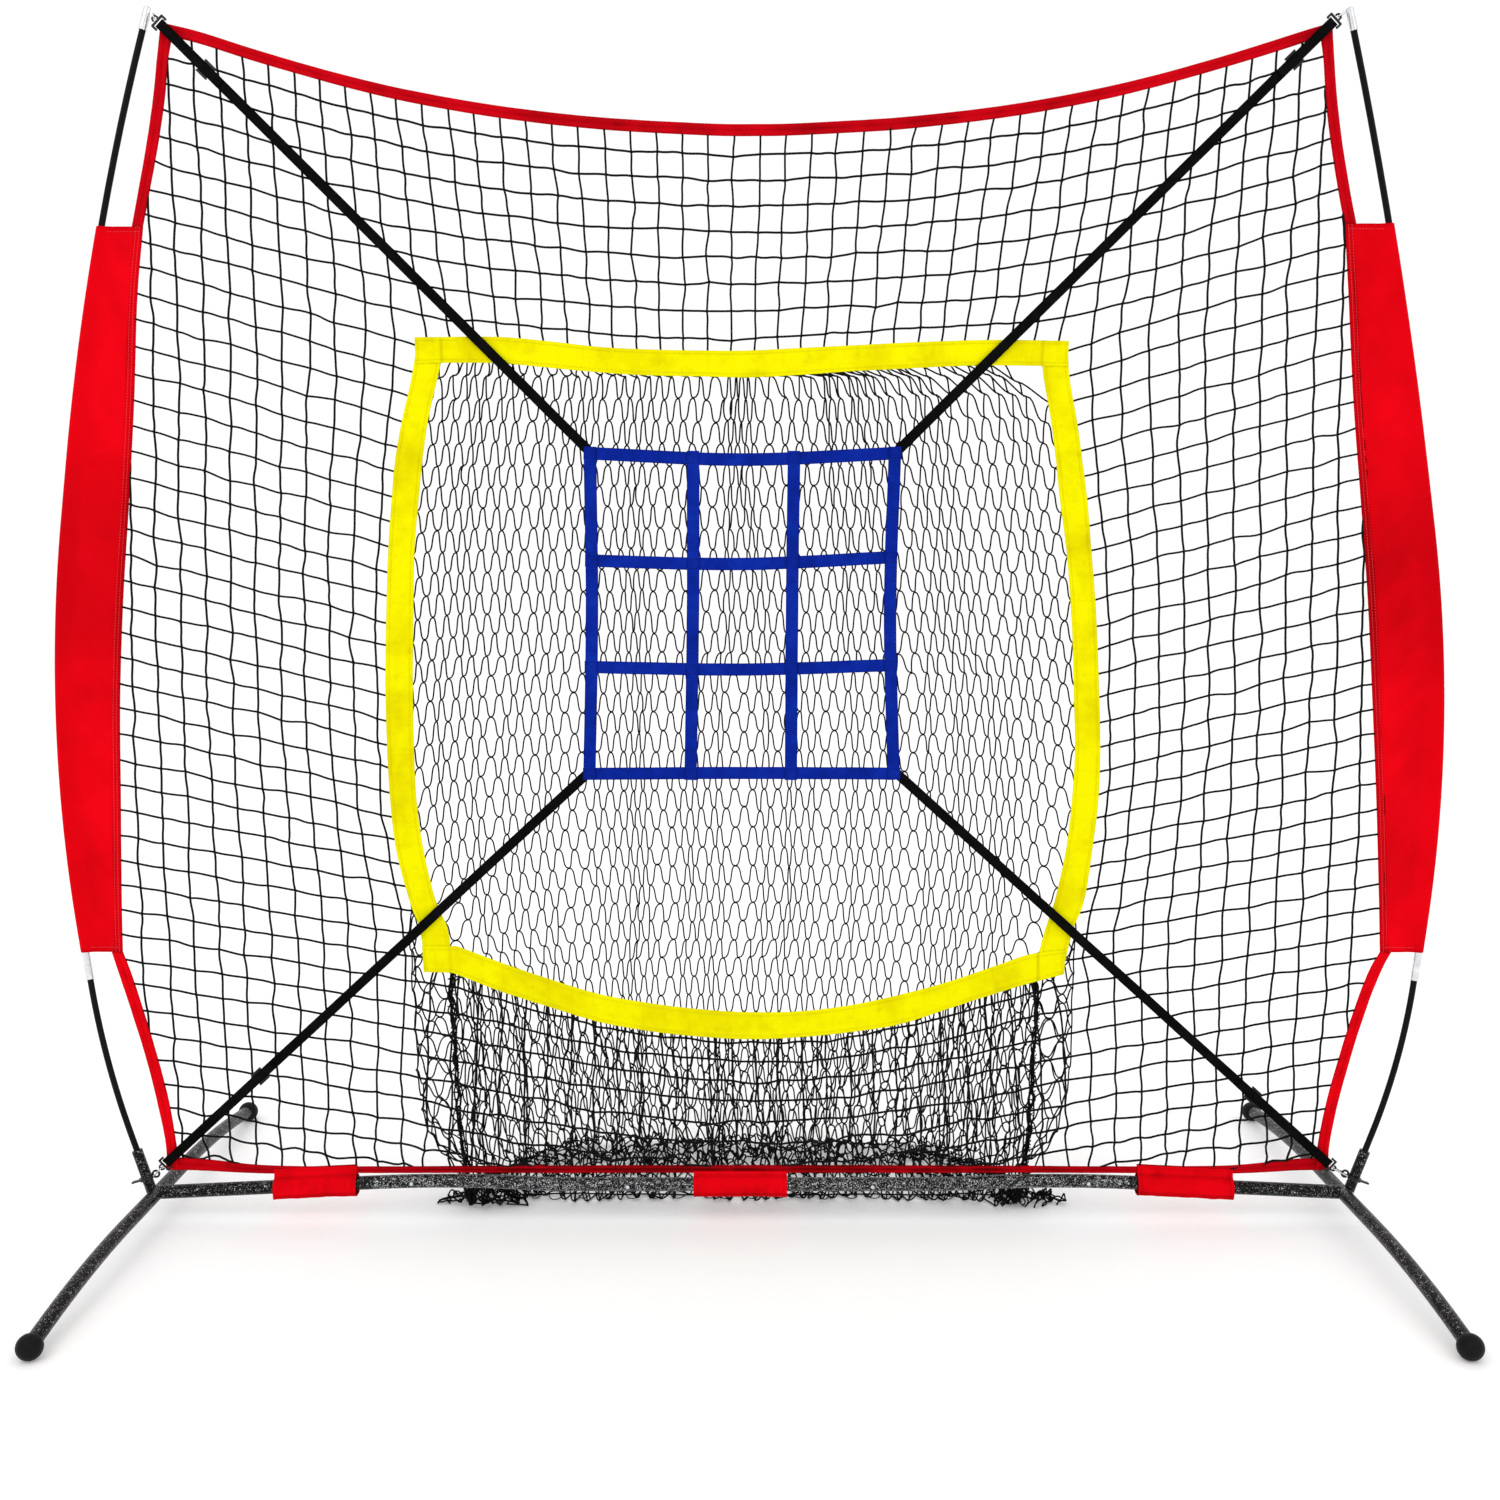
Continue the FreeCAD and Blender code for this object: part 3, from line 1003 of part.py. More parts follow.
rings = []
for key, a_pt, b_pt in link_solids:
    # a rounded rectangle of wire: its ends run front to back, one inside the hook's bend and one through the anchor's eye
    flat = Vector(b_pt.x - a_pt.x, 0, b_pt.z - a_pt.z)
    flat.normalize()
    end = Vector(b_pt.x, 0, b_pt.z).sub(flat * 0.9)
    near = Vector(a_pt.x, 0, a_pt.z)
    flat = end.sub(near)
    span = flat.Length
    flat.normalize()
    r = 3.6
    y_front, y_rear = a_pt.y - 3.6, 3.6

    def corner(along, y):
        return Vector(near.x + flat.x * along, y, near.z + flat.z * along)

    k = r * (1.0 - math.sqrt(0.5))
    print("link", key, "span %.1f" % span)
    q = [corner(r, y_rear), corner(span - r, y_rear), corner(span - k, y_rear - k), corner(span, y_rear - r), corner(span, y_front + r), corner(span - k, y_front + k),
         corner(span - r, y_front), corner(r, y_front), corner(k, y_front + k), corner(0, y_front + r), corner(0, y_rear - r), corner(k, y_rear - k)]
    edges = [Part.LineSegment(q[0], q[1]).toShape(), Part.Arc(q[1], q[2], q[3]).toShape(), Part.LineSegment(q[3], q[4]).toShape(), Part.Arc(q[4], q[5], q[6]).toShape(),
             Part.LineSegment(q[6], q[7]).toShape(), Part.Arc(q[7], q[8], q[9]).toShape(), Part.LineSegment(q[9], q[10]).toShape(), Part.Arc(q[10], q[11], q[0]).toShape()]
    wire = Part.Wire(edges)
    ring = Part.Wire([Part.Circle(q[0], flat, 1.3).toShape()])
    shell = wire.makePipeShell([ring], True, False)
    rings.append(shell)
links = doc.addObject("Part::Feature", "corner_links")
links.Label = "corner_links"
links.Shape = Part.Compound(rings)
links.Placement = Placement(Vector(0, 0, 0), Rotation())
PARTS.append(links)

# ================================================================ cloth sleeves round the base bar, sewn to the bottom binding
# cross section (y, z) about the bar's centre: a loop with an open neck that takes the binding
for label, cx, length, tilt, zc, neck, low in (
    ("bar_sleeve_left", -803.8, 151.9, 1, None, 35.0, -22.0),
    ("bar_sleeve_right", 805.0, 176.0, -1, None, 35.0, -22.0),
    ("bar_sleeve_middle", -18.0, 174.0, 0, inner_z, 26.0, -21.5),
):
    body = new_body(label)
    top = neck
    out = [(-15.6, low), (15.6, low), (16.6, -6.0), (15.0, 9.0), (4.2, 17.5), (3.6, top), (-3.6, top), (-4.2, 17.5), (-15.0, 9.0), (-16.6, -6.0)]
    inn = [(-14.4, low + 1.2), (14.4, low + 1.2), (15.4, -6.0), (13.8, 8.4), (2.6, 16.8), (2.4, top + 5), (-2.4, top + 5), (-2.6, 16.8), (-13.8, 8.4), (-15.4, -6.0)]
    sk = polygon_sketch(body, "section", out, role="YZ_Plane")
    al = cell(label + "_length", length)
    al2 = cell(label + "_cut", length + 10)
    ready()
    pad(body, "cloth", sk, al, midplane=True)
    sk = polygon_sketch(body, "inside", inn, role="YZ_Plane")
    pad(body, "inside_cut", sk, al2, midplane=True, cut=True)
    if zc is None:
        run = VALUE["tee_x"] - abs(cx)
        zc = VALUE["tee_z"] + run * math.tan(slope)
    place(body, cx, 0, zc, Rotation(Vector(0, 1, 0), -tilt * VALUE["tee_slope"]))
    PARTS.append(body)

# ================================================================ checks, then one file for each piece
doc.recompute()
bad = []
for obj in doc.Objects:
    for state in obj.State:
        if state in ("Invalid", "Error"):
            bad.append("%s: %s" % (obj.Name, state))
names = set()
for obj in PARTS:
    shape = obj.Shape
    if shape.isNull() or not shape.isValid() or not shape.Solids or shape.Volume <= 0:
        bad.append("%s: bad shape" % obj.Label)
    if obj.Label in names:
        bad.append("%s: name used twice" % obj.Label)
    names.add(obj.Label)
if bad:
    print("\n".join(bad))
    sys.exit(1)

total = None
for old in os.listdir("parts"):
    if old.endswith(".step") and old[:-5] not in names:
        os.remove(os.path.join("parts", old))
for obj in PARTS:
    obj.Shape.exportStep(os.path.join("parts", obj.Label + ".step"))
    bb = obj.Shape.BoundBox
    if total is None:
        total = FreeCAD.BoundBox(bb)
    else:
        total.add(bb)
    print("%-28s solids %d volume %.0f  x %.1f..%.1f y %.1f..%.1f z %.1f..%.1f" % (obj.Label, len(obj.Shape.Solids), obj.Shape.Volume, bb.XMin, bb.XMax, bb.YMin, bb.YMax, bb.ZMin, bb.ZMax))
print(len(PARTS), "pieces; whole x %.2f..%.2f y %.2f..%.2f z %.2f..%.2f" % (total.XMin, total.XMax, total.YMin, total.YMax, total.ZMin, total.ZMax))
for key, v in SLIDER_AXES.items():
    print("slider", key, [round(a, 6) for a in v])
print("mouth", [(round(a, 1), round(b, 1)) for a, b in MOUTH])
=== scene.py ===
"""Looks of the freestanding target net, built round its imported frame. Metres, +Z up, the pitcher stands at -Y."""
import math

import bpy
import numpy as np
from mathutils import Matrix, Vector


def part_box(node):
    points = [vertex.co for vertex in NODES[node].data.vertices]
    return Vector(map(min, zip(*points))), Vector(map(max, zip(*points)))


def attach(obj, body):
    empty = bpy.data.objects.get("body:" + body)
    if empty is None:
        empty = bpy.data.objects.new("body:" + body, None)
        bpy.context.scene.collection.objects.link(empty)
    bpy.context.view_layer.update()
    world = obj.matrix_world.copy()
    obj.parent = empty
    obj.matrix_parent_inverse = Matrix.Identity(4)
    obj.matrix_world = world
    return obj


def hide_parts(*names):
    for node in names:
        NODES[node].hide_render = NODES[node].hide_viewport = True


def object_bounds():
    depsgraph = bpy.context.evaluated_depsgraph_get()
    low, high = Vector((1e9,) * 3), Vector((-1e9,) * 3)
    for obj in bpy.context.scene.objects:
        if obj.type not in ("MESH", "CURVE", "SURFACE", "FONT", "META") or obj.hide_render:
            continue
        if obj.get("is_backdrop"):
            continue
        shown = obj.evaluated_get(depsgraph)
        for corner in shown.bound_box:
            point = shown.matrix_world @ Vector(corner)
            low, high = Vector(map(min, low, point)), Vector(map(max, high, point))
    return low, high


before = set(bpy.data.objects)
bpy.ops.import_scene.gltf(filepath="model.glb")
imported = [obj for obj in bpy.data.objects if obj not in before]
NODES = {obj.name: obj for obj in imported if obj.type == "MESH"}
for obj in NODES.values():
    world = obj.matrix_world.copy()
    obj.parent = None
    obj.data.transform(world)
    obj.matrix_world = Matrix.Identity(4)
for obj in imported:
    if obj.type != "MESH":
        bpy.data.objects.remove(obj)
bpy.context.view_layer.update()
MM = 0.001
RNG = np.random.default_rng(11)


# ------------------------------------------------------------------ camera, light, floor
scene = bpy.context.scene
scene.view_settings.view_transform = "Standard"
scene.view_settings.look = "None"
cam_data = bpy.data.cameras.new("camera")
cam_data.sensor_fit = "AUTO"
cam_data.sensor_width = 36.0
cam_data.lens = 36.0 * 1522.0 / 1500.0
cam_data.clip_start, cam_data.clip_end = 0.05, 60.0
cam = bpy.data.objects.new("camera", cam_data)
cam.location = (0.0, -2.710, 1.194)
cam.rotation_euler = (math.radians(90.0 - 6.67), 0.0, 0.0)
scene.collection.objects.link(cam)
scene.camera = cam

world = bpy.data.worlds.new("studio")
scene.world = world
world.use_nodes = True
world.node_tree.nodes["Background"].inputs["Color"].default_value = (1.0, 1.0, 1.0, 1.0)
world.node_tree.nodes["Background"].inputs["Strength"].default_value = 1.04


def area_light(name, place, target, size, power):
    data = bpy.data.lights.new(name, "AREA")
    data.shape = "RECTANGLE"
    data.size, data.size_y = size
    data.energy = power
    ob = bpy.data.objects.new(name, data)
    ob.location = place
    ob.rotation_euler = (Vector(target) - Vector(place)).to_track_quat("-Z", "Y").to_euler()
    scene.collection.objects.link(ob)
    ob.visible_camera = False
    return ob


area_light("key", (-2.6, -3.6, 4.2), (0.0, 0.0, 1.0), (2.4, 2.4), 34.0)
area_light("fill", (3.2, -3.0, 2.6), (0.0, 0.0, 1.0), (2.4, 2.4), 12.0)
area_light("rear", (0.6, 4.2, 3.6), (0.0, 0.0, 0.9), (3.0, 2.0), 10.0)


# ------------------------------------------------------------------ node material helpers
class Mat:
    """A small builder for procedural materials on the piece's own coordinates."""

    def __init__(self, name, rough=0.6, metal=0.0, spec=0.5):
        self.mat = bpy.data.materials.new(name)
        self.mat.use_nodes = True
        self.nt = self.mat.node_tree
        self.bsdf = self.nt.nodes["Principled BSDF"]
        self.bsdf.inputs["Roughness"].default_value = rough
        self.bsdf.inputs["Metallic"].default_value = metal
        self.bsdf.inputs["Specular IOR Level"].default_value = spec
        self.coord = self.nt.nodes.new("ShaderNodeTexCoord").outputs["Object"]
        self.height = None

    def node(self, kind, **inputs):
        n = self.nt.nodes.new(kind)
        for k, v in inputs.items():
            self.put(n, k.replace("_", " "), v)
        return n

    def put(self, n, key, v):
        sock = n.inputs[int(key)] if key.isdigit() else n.inputs[key]
        if isinstance(v, bpy.types.NodeSocket):
            self.nt.links.new(v, sock)
        else:
            sock.default_value = v

    def scaled(self, sx, sy, sz, rot=(0, 0, 0)):
        n = self.nt.nodes.new("ShaderNodeMapping")
        self.nt.links.new(self.coord, n.inputs["Vector"])
        n.inputs["Scale"].default_value = (sx, sy, sz)
        n.inputs["Rotation"].default_value = rot
        return n.outputs["Vector"]

    def noise(self, scale, detail=3.0, rough=0.55, vector=None):
        n = self.nt.nodes.new("ShaderNodeTexNoise")
        n.inputs["Scale"].default_value = scale
        n.inputs["Detail"].default_value = detail
        n.inputs["Roughness"].default_value = rough
        self.nt.links.new(self.coord if vector is None else vector, n.inputs["Vector"])
        return n.outputs["Fac"]

    def voronoi(self, scale, feature="F1", vector=None, out="Distance"):
        n = self.nt.nodes.new("ShaderNodeTexVoronoi")
        n.feature = feature
        n.inputs["Scale"].default_value = scale
        self.nt.links.new(self.coord if vector is None else vector, n.inputs["Vector"])
        return n.outputs[out]

    def wave(self, period, direction, distortion=0.0, profile="SIN"):
        n = self.nt.nodes.new("ShaderNodeTexWave")
        n.wave_type = "BANDS"
        n.bands_direction = direction
        n.wave_profile = profile
        n.inputs["Scale"].default_value = 2.0 * math.pi / 20.0 / period
        n.inputs["Distortion"].default_value = distortion
        n.inputs["Detail"].default_value = 1.0
        self.nt.links.new(self.coord, n.inputs["Vector"])
        return n.outputs["Fac"]

    def ramp(self, fac, stops):
        n = self.nt.nodes.new("ShaderNodeValToRGB")
        cr = n.color_ramp
        while len(cr.elements) < len(stops):
            cr.elements.new(0.5)
        for e, (pos, col) in zip(cr.elements, stops):
            e.position = pos
            e.color = (*col, 1.0) if len(col) == 3 else col
        self.nt.links.new(fac, n.inputs["Fac"])
        return n.outputs["Color"]

    def mix(self, fac, a, b, mode="MIX"):
        n = self.nt.nodes.new("ShaderNodeMix")
        n.data_type = "RGBA"
        n.blend_type = mode
        n.clamp_factor = True
        for key, v in ((0, fac), (6, a), (7, b)):
            if isinstance(v, bpy.types.NodeSocket):
                self.nt.links.new(v, n.inputs[key])
            elif key == 0:
                n.inputs[key].default_value = v
            else:
                n.inputs[key].default_value = (*v, 1.0)
        return n.outputs[2]

    def math(self, op, a, b=None, clamp=False):
        n = self.nt.nodes.new("ShaderNodeMath")
        n.operation = op
        n.use_clamp = clamp
        for i, v in enumerate((a, b)):
            if v is None:
                continue
            if isinstance(v, bpy.types.NodeSocket):
                self.nt.links.new(v, n.inputs[i])
            else:
                n.inputs[i].default_value = v
        return n.outputs[0]

    def colour(self, v):
        if isinstance(v, bpy.types.NodeSocket):
            self.nt.links.new(v, self.bsdf.inputs["Base Color"])
        else:
            self.bsdf.inputs["Base Color"].default_value = (*v, 1.0)

    def rough(self, v):
        self.nt.links.new(v, self.bsdf.inputs["Roughness"])

    def bump(self, height, strength=0.5, distance=0.001):
        n = self.nt.nodes.new("ShaderNodeBump")
        n.inputs["Strength"].default_value = strength
        n.inputs["Distance"].default_value = distance
        self.nt.links.new(height, n.inputs["Height"])
        if self.height is not None:
            self.nt.links.new(self.height, n.inputs["Normal"])
        self.height = n.outputs["Normal"]
        self.nt.links.new(self.height, self.bsdf.inputs["Normal"])


def attribute(m, name):
    n = m.nt.nodes.new("ShaderNodeAttribute")
    n.attribute_name = name
    return n.outputs["Fac"]


def cloth(name, base, dark, light, weave=0.0016, sheen=0.0):
    """Coated oxford cloth: basket weave, slow creases, and shade painted into the folds by the mesh."""
    m = Mat(name, rough=0.62, spec=0.015)
    slow = m.noise(7.0, 4.0, 0.6)
    fine = m.noise(900.0, 2.0, 0.5)
    col = m.ramp(slow, [(0.30, dark), (0.52, base), (0.78, light)])
    col = m.mix(m.math("MULTIPLY", fine, 0.22), col, dark)
    shade = attribute(m, "shade")
    col = m.mix(m.math("MULTIPLY", shade, 1.0, True), col, tuple(c * 0.35 for c in dark))
    m.colour(col)
    m.rough(m.math("ADD", m.math("MULTIPLY", fine, 0.18), 0.50))
    m.bsdf.inputs["Sheen Weight"].default_value = sheen
    m.bsdf.inputs["Sheen Roughness"].default_value = 0.5
    a, b = m.wave(weave, "X"), m.wave(weave, "Z")
    m.bump(m.math("MULTIPLY", a, b), 0.5, 0.0003)
    m.bump(m.noise(26.0, 4.0, 0.6), 0.25, 0.004)
    return m.mat


def webbing_material(name, base, dark, light, pitch):
    """Woven webbing: ribs come from the mesh, yarn and wear from here, with a painted highlight on the rib crests and
    painted shade from the mesh.
    """
    m = Mat(name, rough=0.55, spec=0.015)
    fine = m.noise(1400.0, 2.0, 0.5)
    slow = m.noise(30.0, 3.0, 0.6)
    col = m.ramp(slow, [(0.25, dark), (0.5, base), (0.8, light)])
    rib = attribute(m, "rib")
    # painted highlight: rib crests mixed towards the light colour
    col = m.mix(m.math("MULTIPLY", rib, 0.55), col, light)
    col = m.mix(m.math("MULTIPLY", attribute(m, "shade"), 1.0, True), col, tuple(c * 0.35 for c in dark))
    col = m.mix(m.math("MULTIPLY", fine, 0.25), col, dark)
    m.colour(col)
    m.rough(m.math("ADD", m.math("MULTIPLY", fine, 0.2), 0.42))
    m.bump(m.voronoi(1.0 / pitch), 0.4, 0.0003)
    return m.mat


def cord_material(name, base, light, bump=0.35):
    """Knotted polyethylene cord: strands show as a short twisted grain, knots catch a little light."""
    m = Mat(name, rough=0.5, spec=0.03)
    grain = m.noise(1500.0, 3.0, 0.6)
    slow = m.noise(5.0, 2.0, 0.5)
    col = m.ramp(grain, [(0.35, base), (0.75, light)])
    col = m.mix(m.math("MULTIPLY", slow, 0.3), col, base)
    m.colour(col)
    m.rough(m.math("ADD", m.math("MULTIPLY", grain, 0.3), 0.35))
    m.bump(grain, bump, 0.0005)
    return m.mat


def hammertone(name, cut=0.0):
    """Bright flecks in black, as baked hammer finish paint."""
    m = Mat(name, rough=0.36, metal=0.55, spec=0.12)
    fleck = m.noise(430.0, 3.0, 0.75)
    spread = m.noise(120.0, 2.0, 0.5)
    v = m.math("ADD", fleck, m.math("MULTIPLY", m.math("SUBTRACT", spread, 0.5), 0.25))
    col = m.ramp(v, [(0.40 + cut, (0.004, 0.004, 0.0045)), (0.52 + cut, (0.013, 0.013, 0.014)), (0.57 + cut, (0.42, 0.43, 0.44)), (0.66 + cut, (0.80, 0.81, 0.83))])
    m.colour(col)
    m.rough(m.math("ADD", m.math("MULTIPLY", v, 0.30, True), 0.22))
    m.bsdf.inputs["Coat Weight"].default_value = 0.05
    m.bsdf.inputs["Coat Roughness"].default_value = 0.15
    m.bump(v, 0.45, 0.0006)
    return m.mat


def simple_metal(name, base, rough, wear, scale=90.0, metal=1.0):
    m = Mat(name, rough=rough, metal=metal)
    n = m.noise(scale, 5.0, 0.65)
    fine = m.noise(900.0, 2.0, 0.5)
    m.colour(m.ramp(n, [(0.25, tuple(c * 0.72 for c in base)), (0.55, base), (0.82, wear)]))
    m.rough(m.math("ADD", m.math("MULTIPLY", n, 0.25), max(rough - 0.12, 0.05)))
    m.bump(fine, 0.2, 0.0002)
    return m.mat


def plastic(name, base, light, rough, coat=0.0, bump=0.3, scale=300.0):
    m = Mat(name, rough=rough, spec=0.07)
    n = m.noise(scale, 4.0, 0.6)
    slow = m.noise(14.0, 3.0, 0.6)
    col = m.ramp(n, [(0.3, base), (0.8, light)])
    m.colour(m.mix(m.math("MULTIPLY", slow, 0.35), col, base))
    m.rough(m.math("ADD", m.math("MULTIPLY", n, 0.22), rough - 0.08))
    m.bsdf.inputs["Coat Weight"].default_value = coat
    m.bsdf.inputs["Coat Roughness"].default_value = 0.15
    m.bump(n, bump, 0.0004)
    return m.mat


MAT = {
    "hammer": hammertone("hammertone_paint", 0.022),
    # a darker copy of the same hammertone with fewer flecks, as painted shade for the legs, end tees and pole sockets
    "hammer_shaded": hammertone("hammertone_paint_shaded", 0.075),
    "socket": simple_metal("black_zinc", (0.10, 0.10, 0.105), 0.35, (0.22, 0.22, 0.23), 120.0, 0.9),
    "black_steel": simple_metal("black_oxide_steel", (0.02, 0.02, 0.021), 0.38, (0.07, 0.07, 0.07), 160.0, 0.7),
    "steel": simple_metal("bright_steel", (0.72, 0.73, 0.75), 0.22, (0.9, 0.9, 0.92), 70.0),
    "rubber": plastic("foot_rubber", (0.004, 0.004, 0.004), (0.014, 0.014, 0.015), 0.42, 0.0, 0.35, 500.0),
    "rod": plastic("glass_fibre_rod", (0.002, 0.002, 0.0025), (0.007, 0.007, 0.008), 0.26, 0.02, 0.15, 240.0),
    "slider": plastic("slider_nylon", (0.008, 0.008, 0.008), (0.022, 0.022, 0.023), 0.34, 0.2, 0.3, 600.0),
    "red": cloth("red_oxford", (0.78, 0.0006, 0.006), (0.66, 0.0005, 0.004), (0.84, 0.0010, 0.008)),
    "dark_red": cloth("red_binding_tape", (0.56, 0.0008, 0.006), (0.38, 0.0005, 0.004), (0.76, 0.0015, 0.010), 0.0012),
    "yellow": cloth("yellow_band", (0.90, 0.85, 0.0), (0.70, 0.60, 0.0), (0.93, 0.89, 0.0), 0.0014),
    "blue": webbing_material("blue_webbing", (0.0025, 0.015, 0.27), (0.0012, 0.007, 0.15), (0.005, 0.030, 0.38), 0.0012),
    "black_web": webbing_material("black_webbing", (0.002, 0.002, 0.002), (0.001, 0.001, 0.001), (0.007, 0.007, 0.007), 0.0011),
    "net": cord_material("net_cord", (0.003, 0.003, 0.004), (0.014, 0.014, 0.016)),
    "pocket": cord_material("pocket_cord", (0.003, 0.003, 0.004), (0.012, 0.012, 0.014)),
    "thread_red": plastic("red_thread", (0.45, 0.0, 0.005), (0.72, 0.01, 0.015), 0.6, 0.0, 0.3, 1200.0),
    "thread_light": plastic("light_red_thread", (0.80, 0.035, 0.05), (0.92, 0.10, 0.12), 0.6, 0.0, 0.3, 1200.0),
    "thread_yellow": plastic("yellow_thread", (0.80, 0.66, 0.0), (0.95, 0.85, 0.01), 0.6, 0.0, 0.3, 1200.0),
    "thread_blue": plastic("blue_thread", (0.002, 0.010, 0.16), (0.006, 0.022, 0.28), 0.6, 0.0, 0.3, 1200.0),
    "thread_black": plastic("black_thread", (0.004, 0.004, 0.004), (0.012, 0.012, 0.012), 0.6, 0.0, 0.3, 1200.0),
}


# ------------------------------------------------------------------ mesh helpers
def build(name, verts, face_sets, mat, attrs=None, smooth=True, body="frame"):
    """A mesh piece from arrays: verts (N, 3) in metres and a list of (F, k) index arrays."""
    verts = np.asarray(verts, np.float32)
    mesh = bpy.data.meshes.new(name)
    mesh.vertices.add(len(verts))
    mesh.vertices.foreach_set("co", verts.ravel())
    loops = np.concatenate([np.asarray(f, np.int32).ravel() for f in face_sets])
    totals = np.concatenate([np.full(len(f), np.asarray(f).shape[1], np.int32) for f in face_sets])
    starts = np.concatenate([[0], np.cumsum(totals)[:-1]]).astype(np.int32)
    mesh.loops.add(len(loops))
    mesh.loops.foreach_set("vertex_index", loops)
    mesh.polygons.add(len(totals))
    mesh.polygons.foreach_set("loop_start", starts)
    mesh.polygons.foreach_set("loop_total", totals)
    mesh.polygons.foreach_set("use_smooth", np.full(len(totals), smooth))
    mesh.update(calc_edges=True)
    mesh.validate()
    for key, values in (attrs or {}).items():
        a = mesh.attributes.new(key, "FLOAT", "POINT")
        a.data.foreach_set("value", np.asarray(values, np.float32))
    mesh.materials.append(mat)
    ob = bpy.data.objects.new(name, mesh)
    scene.collection.objects.link(ob)
    if body:
        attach(ob, body)
    return ob


def tubes(paths, radius, sides=6):
    """Round cords along paths (N, P, 3); each is a closed tube. Returns verts and face sets."""
    paths = np.asarray(paths, float)
    n, p, _ = paths.shape
    tang = np.gradient(paths, axis=1)
    tang /= np.linalg.norm(tang, axis=2, keepdims=True) + 1e-12
    ref = np.where(np.abs(tang[:, 0, 1:2]) < 0.8, np.array([[0.0, 1.0, 0.0]]), np.array([[1.0, 0.0, 0.0]]))
    normals = np.zeros_like(paths)
    nrm = ref - (ref * tang[:, 0]).sum(1, keepdims=True) * tang[:, 0]
    nrm /= np.linalg.norm(nrm, axis=1, keepdims=True) + 1e-12
    normals[:, 0] = nrm
    for k in range(1, p):
        nrm = nrm - (nrm * tang[:, k]).sum(1, keepdims=True) * tang[:, k]
        nrm /= np.linalg.norm(nrm, axis=1, keepdims=True) + 1e-12
        normals[:, k] = nrm
    binormals = np.cross(tang, normals)
    ang = np.arange(sides) / sides * 2 * math.pi
    r = np.broadcast_to(np.asarray(radius, float), (n, p)) if np.ndim(radius) else np.full((n, p), float(radius))
    ring = paths[:, :, None, :] + r[:, :, None, None] * (np.cos(ang)[None, None, :, None] * normals[:, :, None, :] + np.sin(ang)[None, None, :, None] * binormals[:, :, None, :])
    verts = ring.reshape(-1, 3)
    base = np.arange(n)[:, None, None] * p * sides
    k = np.arange(p - 1)[None, :, None] * sides
    s = np.arange(sides)[None, None, :]
    s2 = (s + 1) % sides
    quads = np.stack([base + k + s, base + k + s2, base + k + sides + s2, base + k + sides + s], axis=-1).reshape(-1, 4)
    start = (np.arange(n) * p * sides)[:, None] + np.arange(sides)[None, ::-1]
    end = (np.arange(n) * p * sides)[:, None] + (p - 1) * sides + np.arange(sides)[None, :]
    return verts, [quads, start, end]


def blobs(centres, radii, lon=6, lat=4):
    """Small closed ellipsoids at centres (N, 3); radii is (3,) or (N, 3)."""
    centres = np.asarray(centres, float)
    n = len(centres)
    radii = np.broadcast_to(np.asarray(radii, float), (n, 3))
    pts = [(0.0, 0.0, 1.0)]
    for i in range(1, lat):
        th = math.pi * i / lat
        for j in range(lon):
            ph = 2 * math.pi * (j + 0.5 * (i % 2)) / lon
            pts.append((math.sin(th) * math.cos(ph), math.sin(th) * math.sin(ph), math.cos(th)))
    pts.append((0.0, 0.0, -1.0))
    pts = np.array(pts)
    verts = (centres[:, None, :] + pts[None] * radii[:, None, :]).reshape(-1, 3)
    tris, quads = [], []
    for j in range(lon):
        tris.append((0, 1 + j, 1 + (j + 1) % lon))
    for i in range(lat - 2):
        for j in range(lon):
            a, b = 1 + i * lon + j, 1 + i * lon + (j + 1) % lon
            quads.append((a, a + lon, b + lon, b))
    last = len(pts) - 1
    for j in range(lon):
        a, b = 1 + (lat - 2) * lon + j, 1 + (lat - 2) * lon + (j + 1) % lon
        tris.append((last, b, a))
    off = (np.arange(n) * len(pts))[:, None, None]
    return verts, [(off + np.array(tris)[None]).reshape(-1, 3), (off + np.array(quads)[None]).reshape(-1, 4)]


def joined(parts):
    """Several (verts, face sets) as one."""
    vs, sets, off = [], {}, 0
    for v, fs in parts:
        vs.append(v)
        for f in fs:
            f = np.asarray(f)
            sets.setdefault(f.shape[1], []).append(f + off)
        off += len(v)
    return np.concatenate(vs), [np.concatenate(x) for x in sets.values()]


def smooth_line(points, step, keep_ends=True):
    """Points spaced evenly along a smooth curve through the given points."""
    p = np.asarray(points, float)
    q = np.vstack([2 * p[0] - p[1], p, 2 * p[-1] - p[-2]])
    out = []
    for i in range(1, len(q) - 2):
        a, b, c, d = q[i - 1], q[i], q[i + 1], q[i + 2]
        for t in np.linspace(0, 1, 12, endpoint=False):
            ta = 0.5
            m1, m2 = (c - a) * ta, (d - b) * ta
            h00, h10, h01, h11 = 2 * t**3 - 3 * t**2 + 1, t**3 - 2 * t**2 + t, -2 * t**3 + 3 * t**2, t**3 - t**2
            out.append(h00 * b + h10 * m1 + h01 * c + h11 * m2)
    out.append(p[-1])
    out = np.array(out)
    s = np.concatenate([[0], np.cumsum(np.linalg.norm(np.diff(out, axis=0), axis=1))])
    n = max(int(round(s[-1] / step)), 2) + 1
    t = np.linspace(0, s[-1], n)
    return np.stack([np.interp(t, s, out[:, k]) for k in range(out.shape[1])], axis=1)


def at_share(points, shares, step=4.0):
    """Places at the given shares of a smooth line's length."""
    line = smooth_line(points, step)
    s = np.concatenate([[0], np.cumsum(np.linalg.norm(np.diff(line, axis=0), axis=1))])
    t = np.asarray(shares) * s[-1]
    return np.stack([np.interp(t, s, line[:, k]) for k in range(line.shape[1])], axis=1)


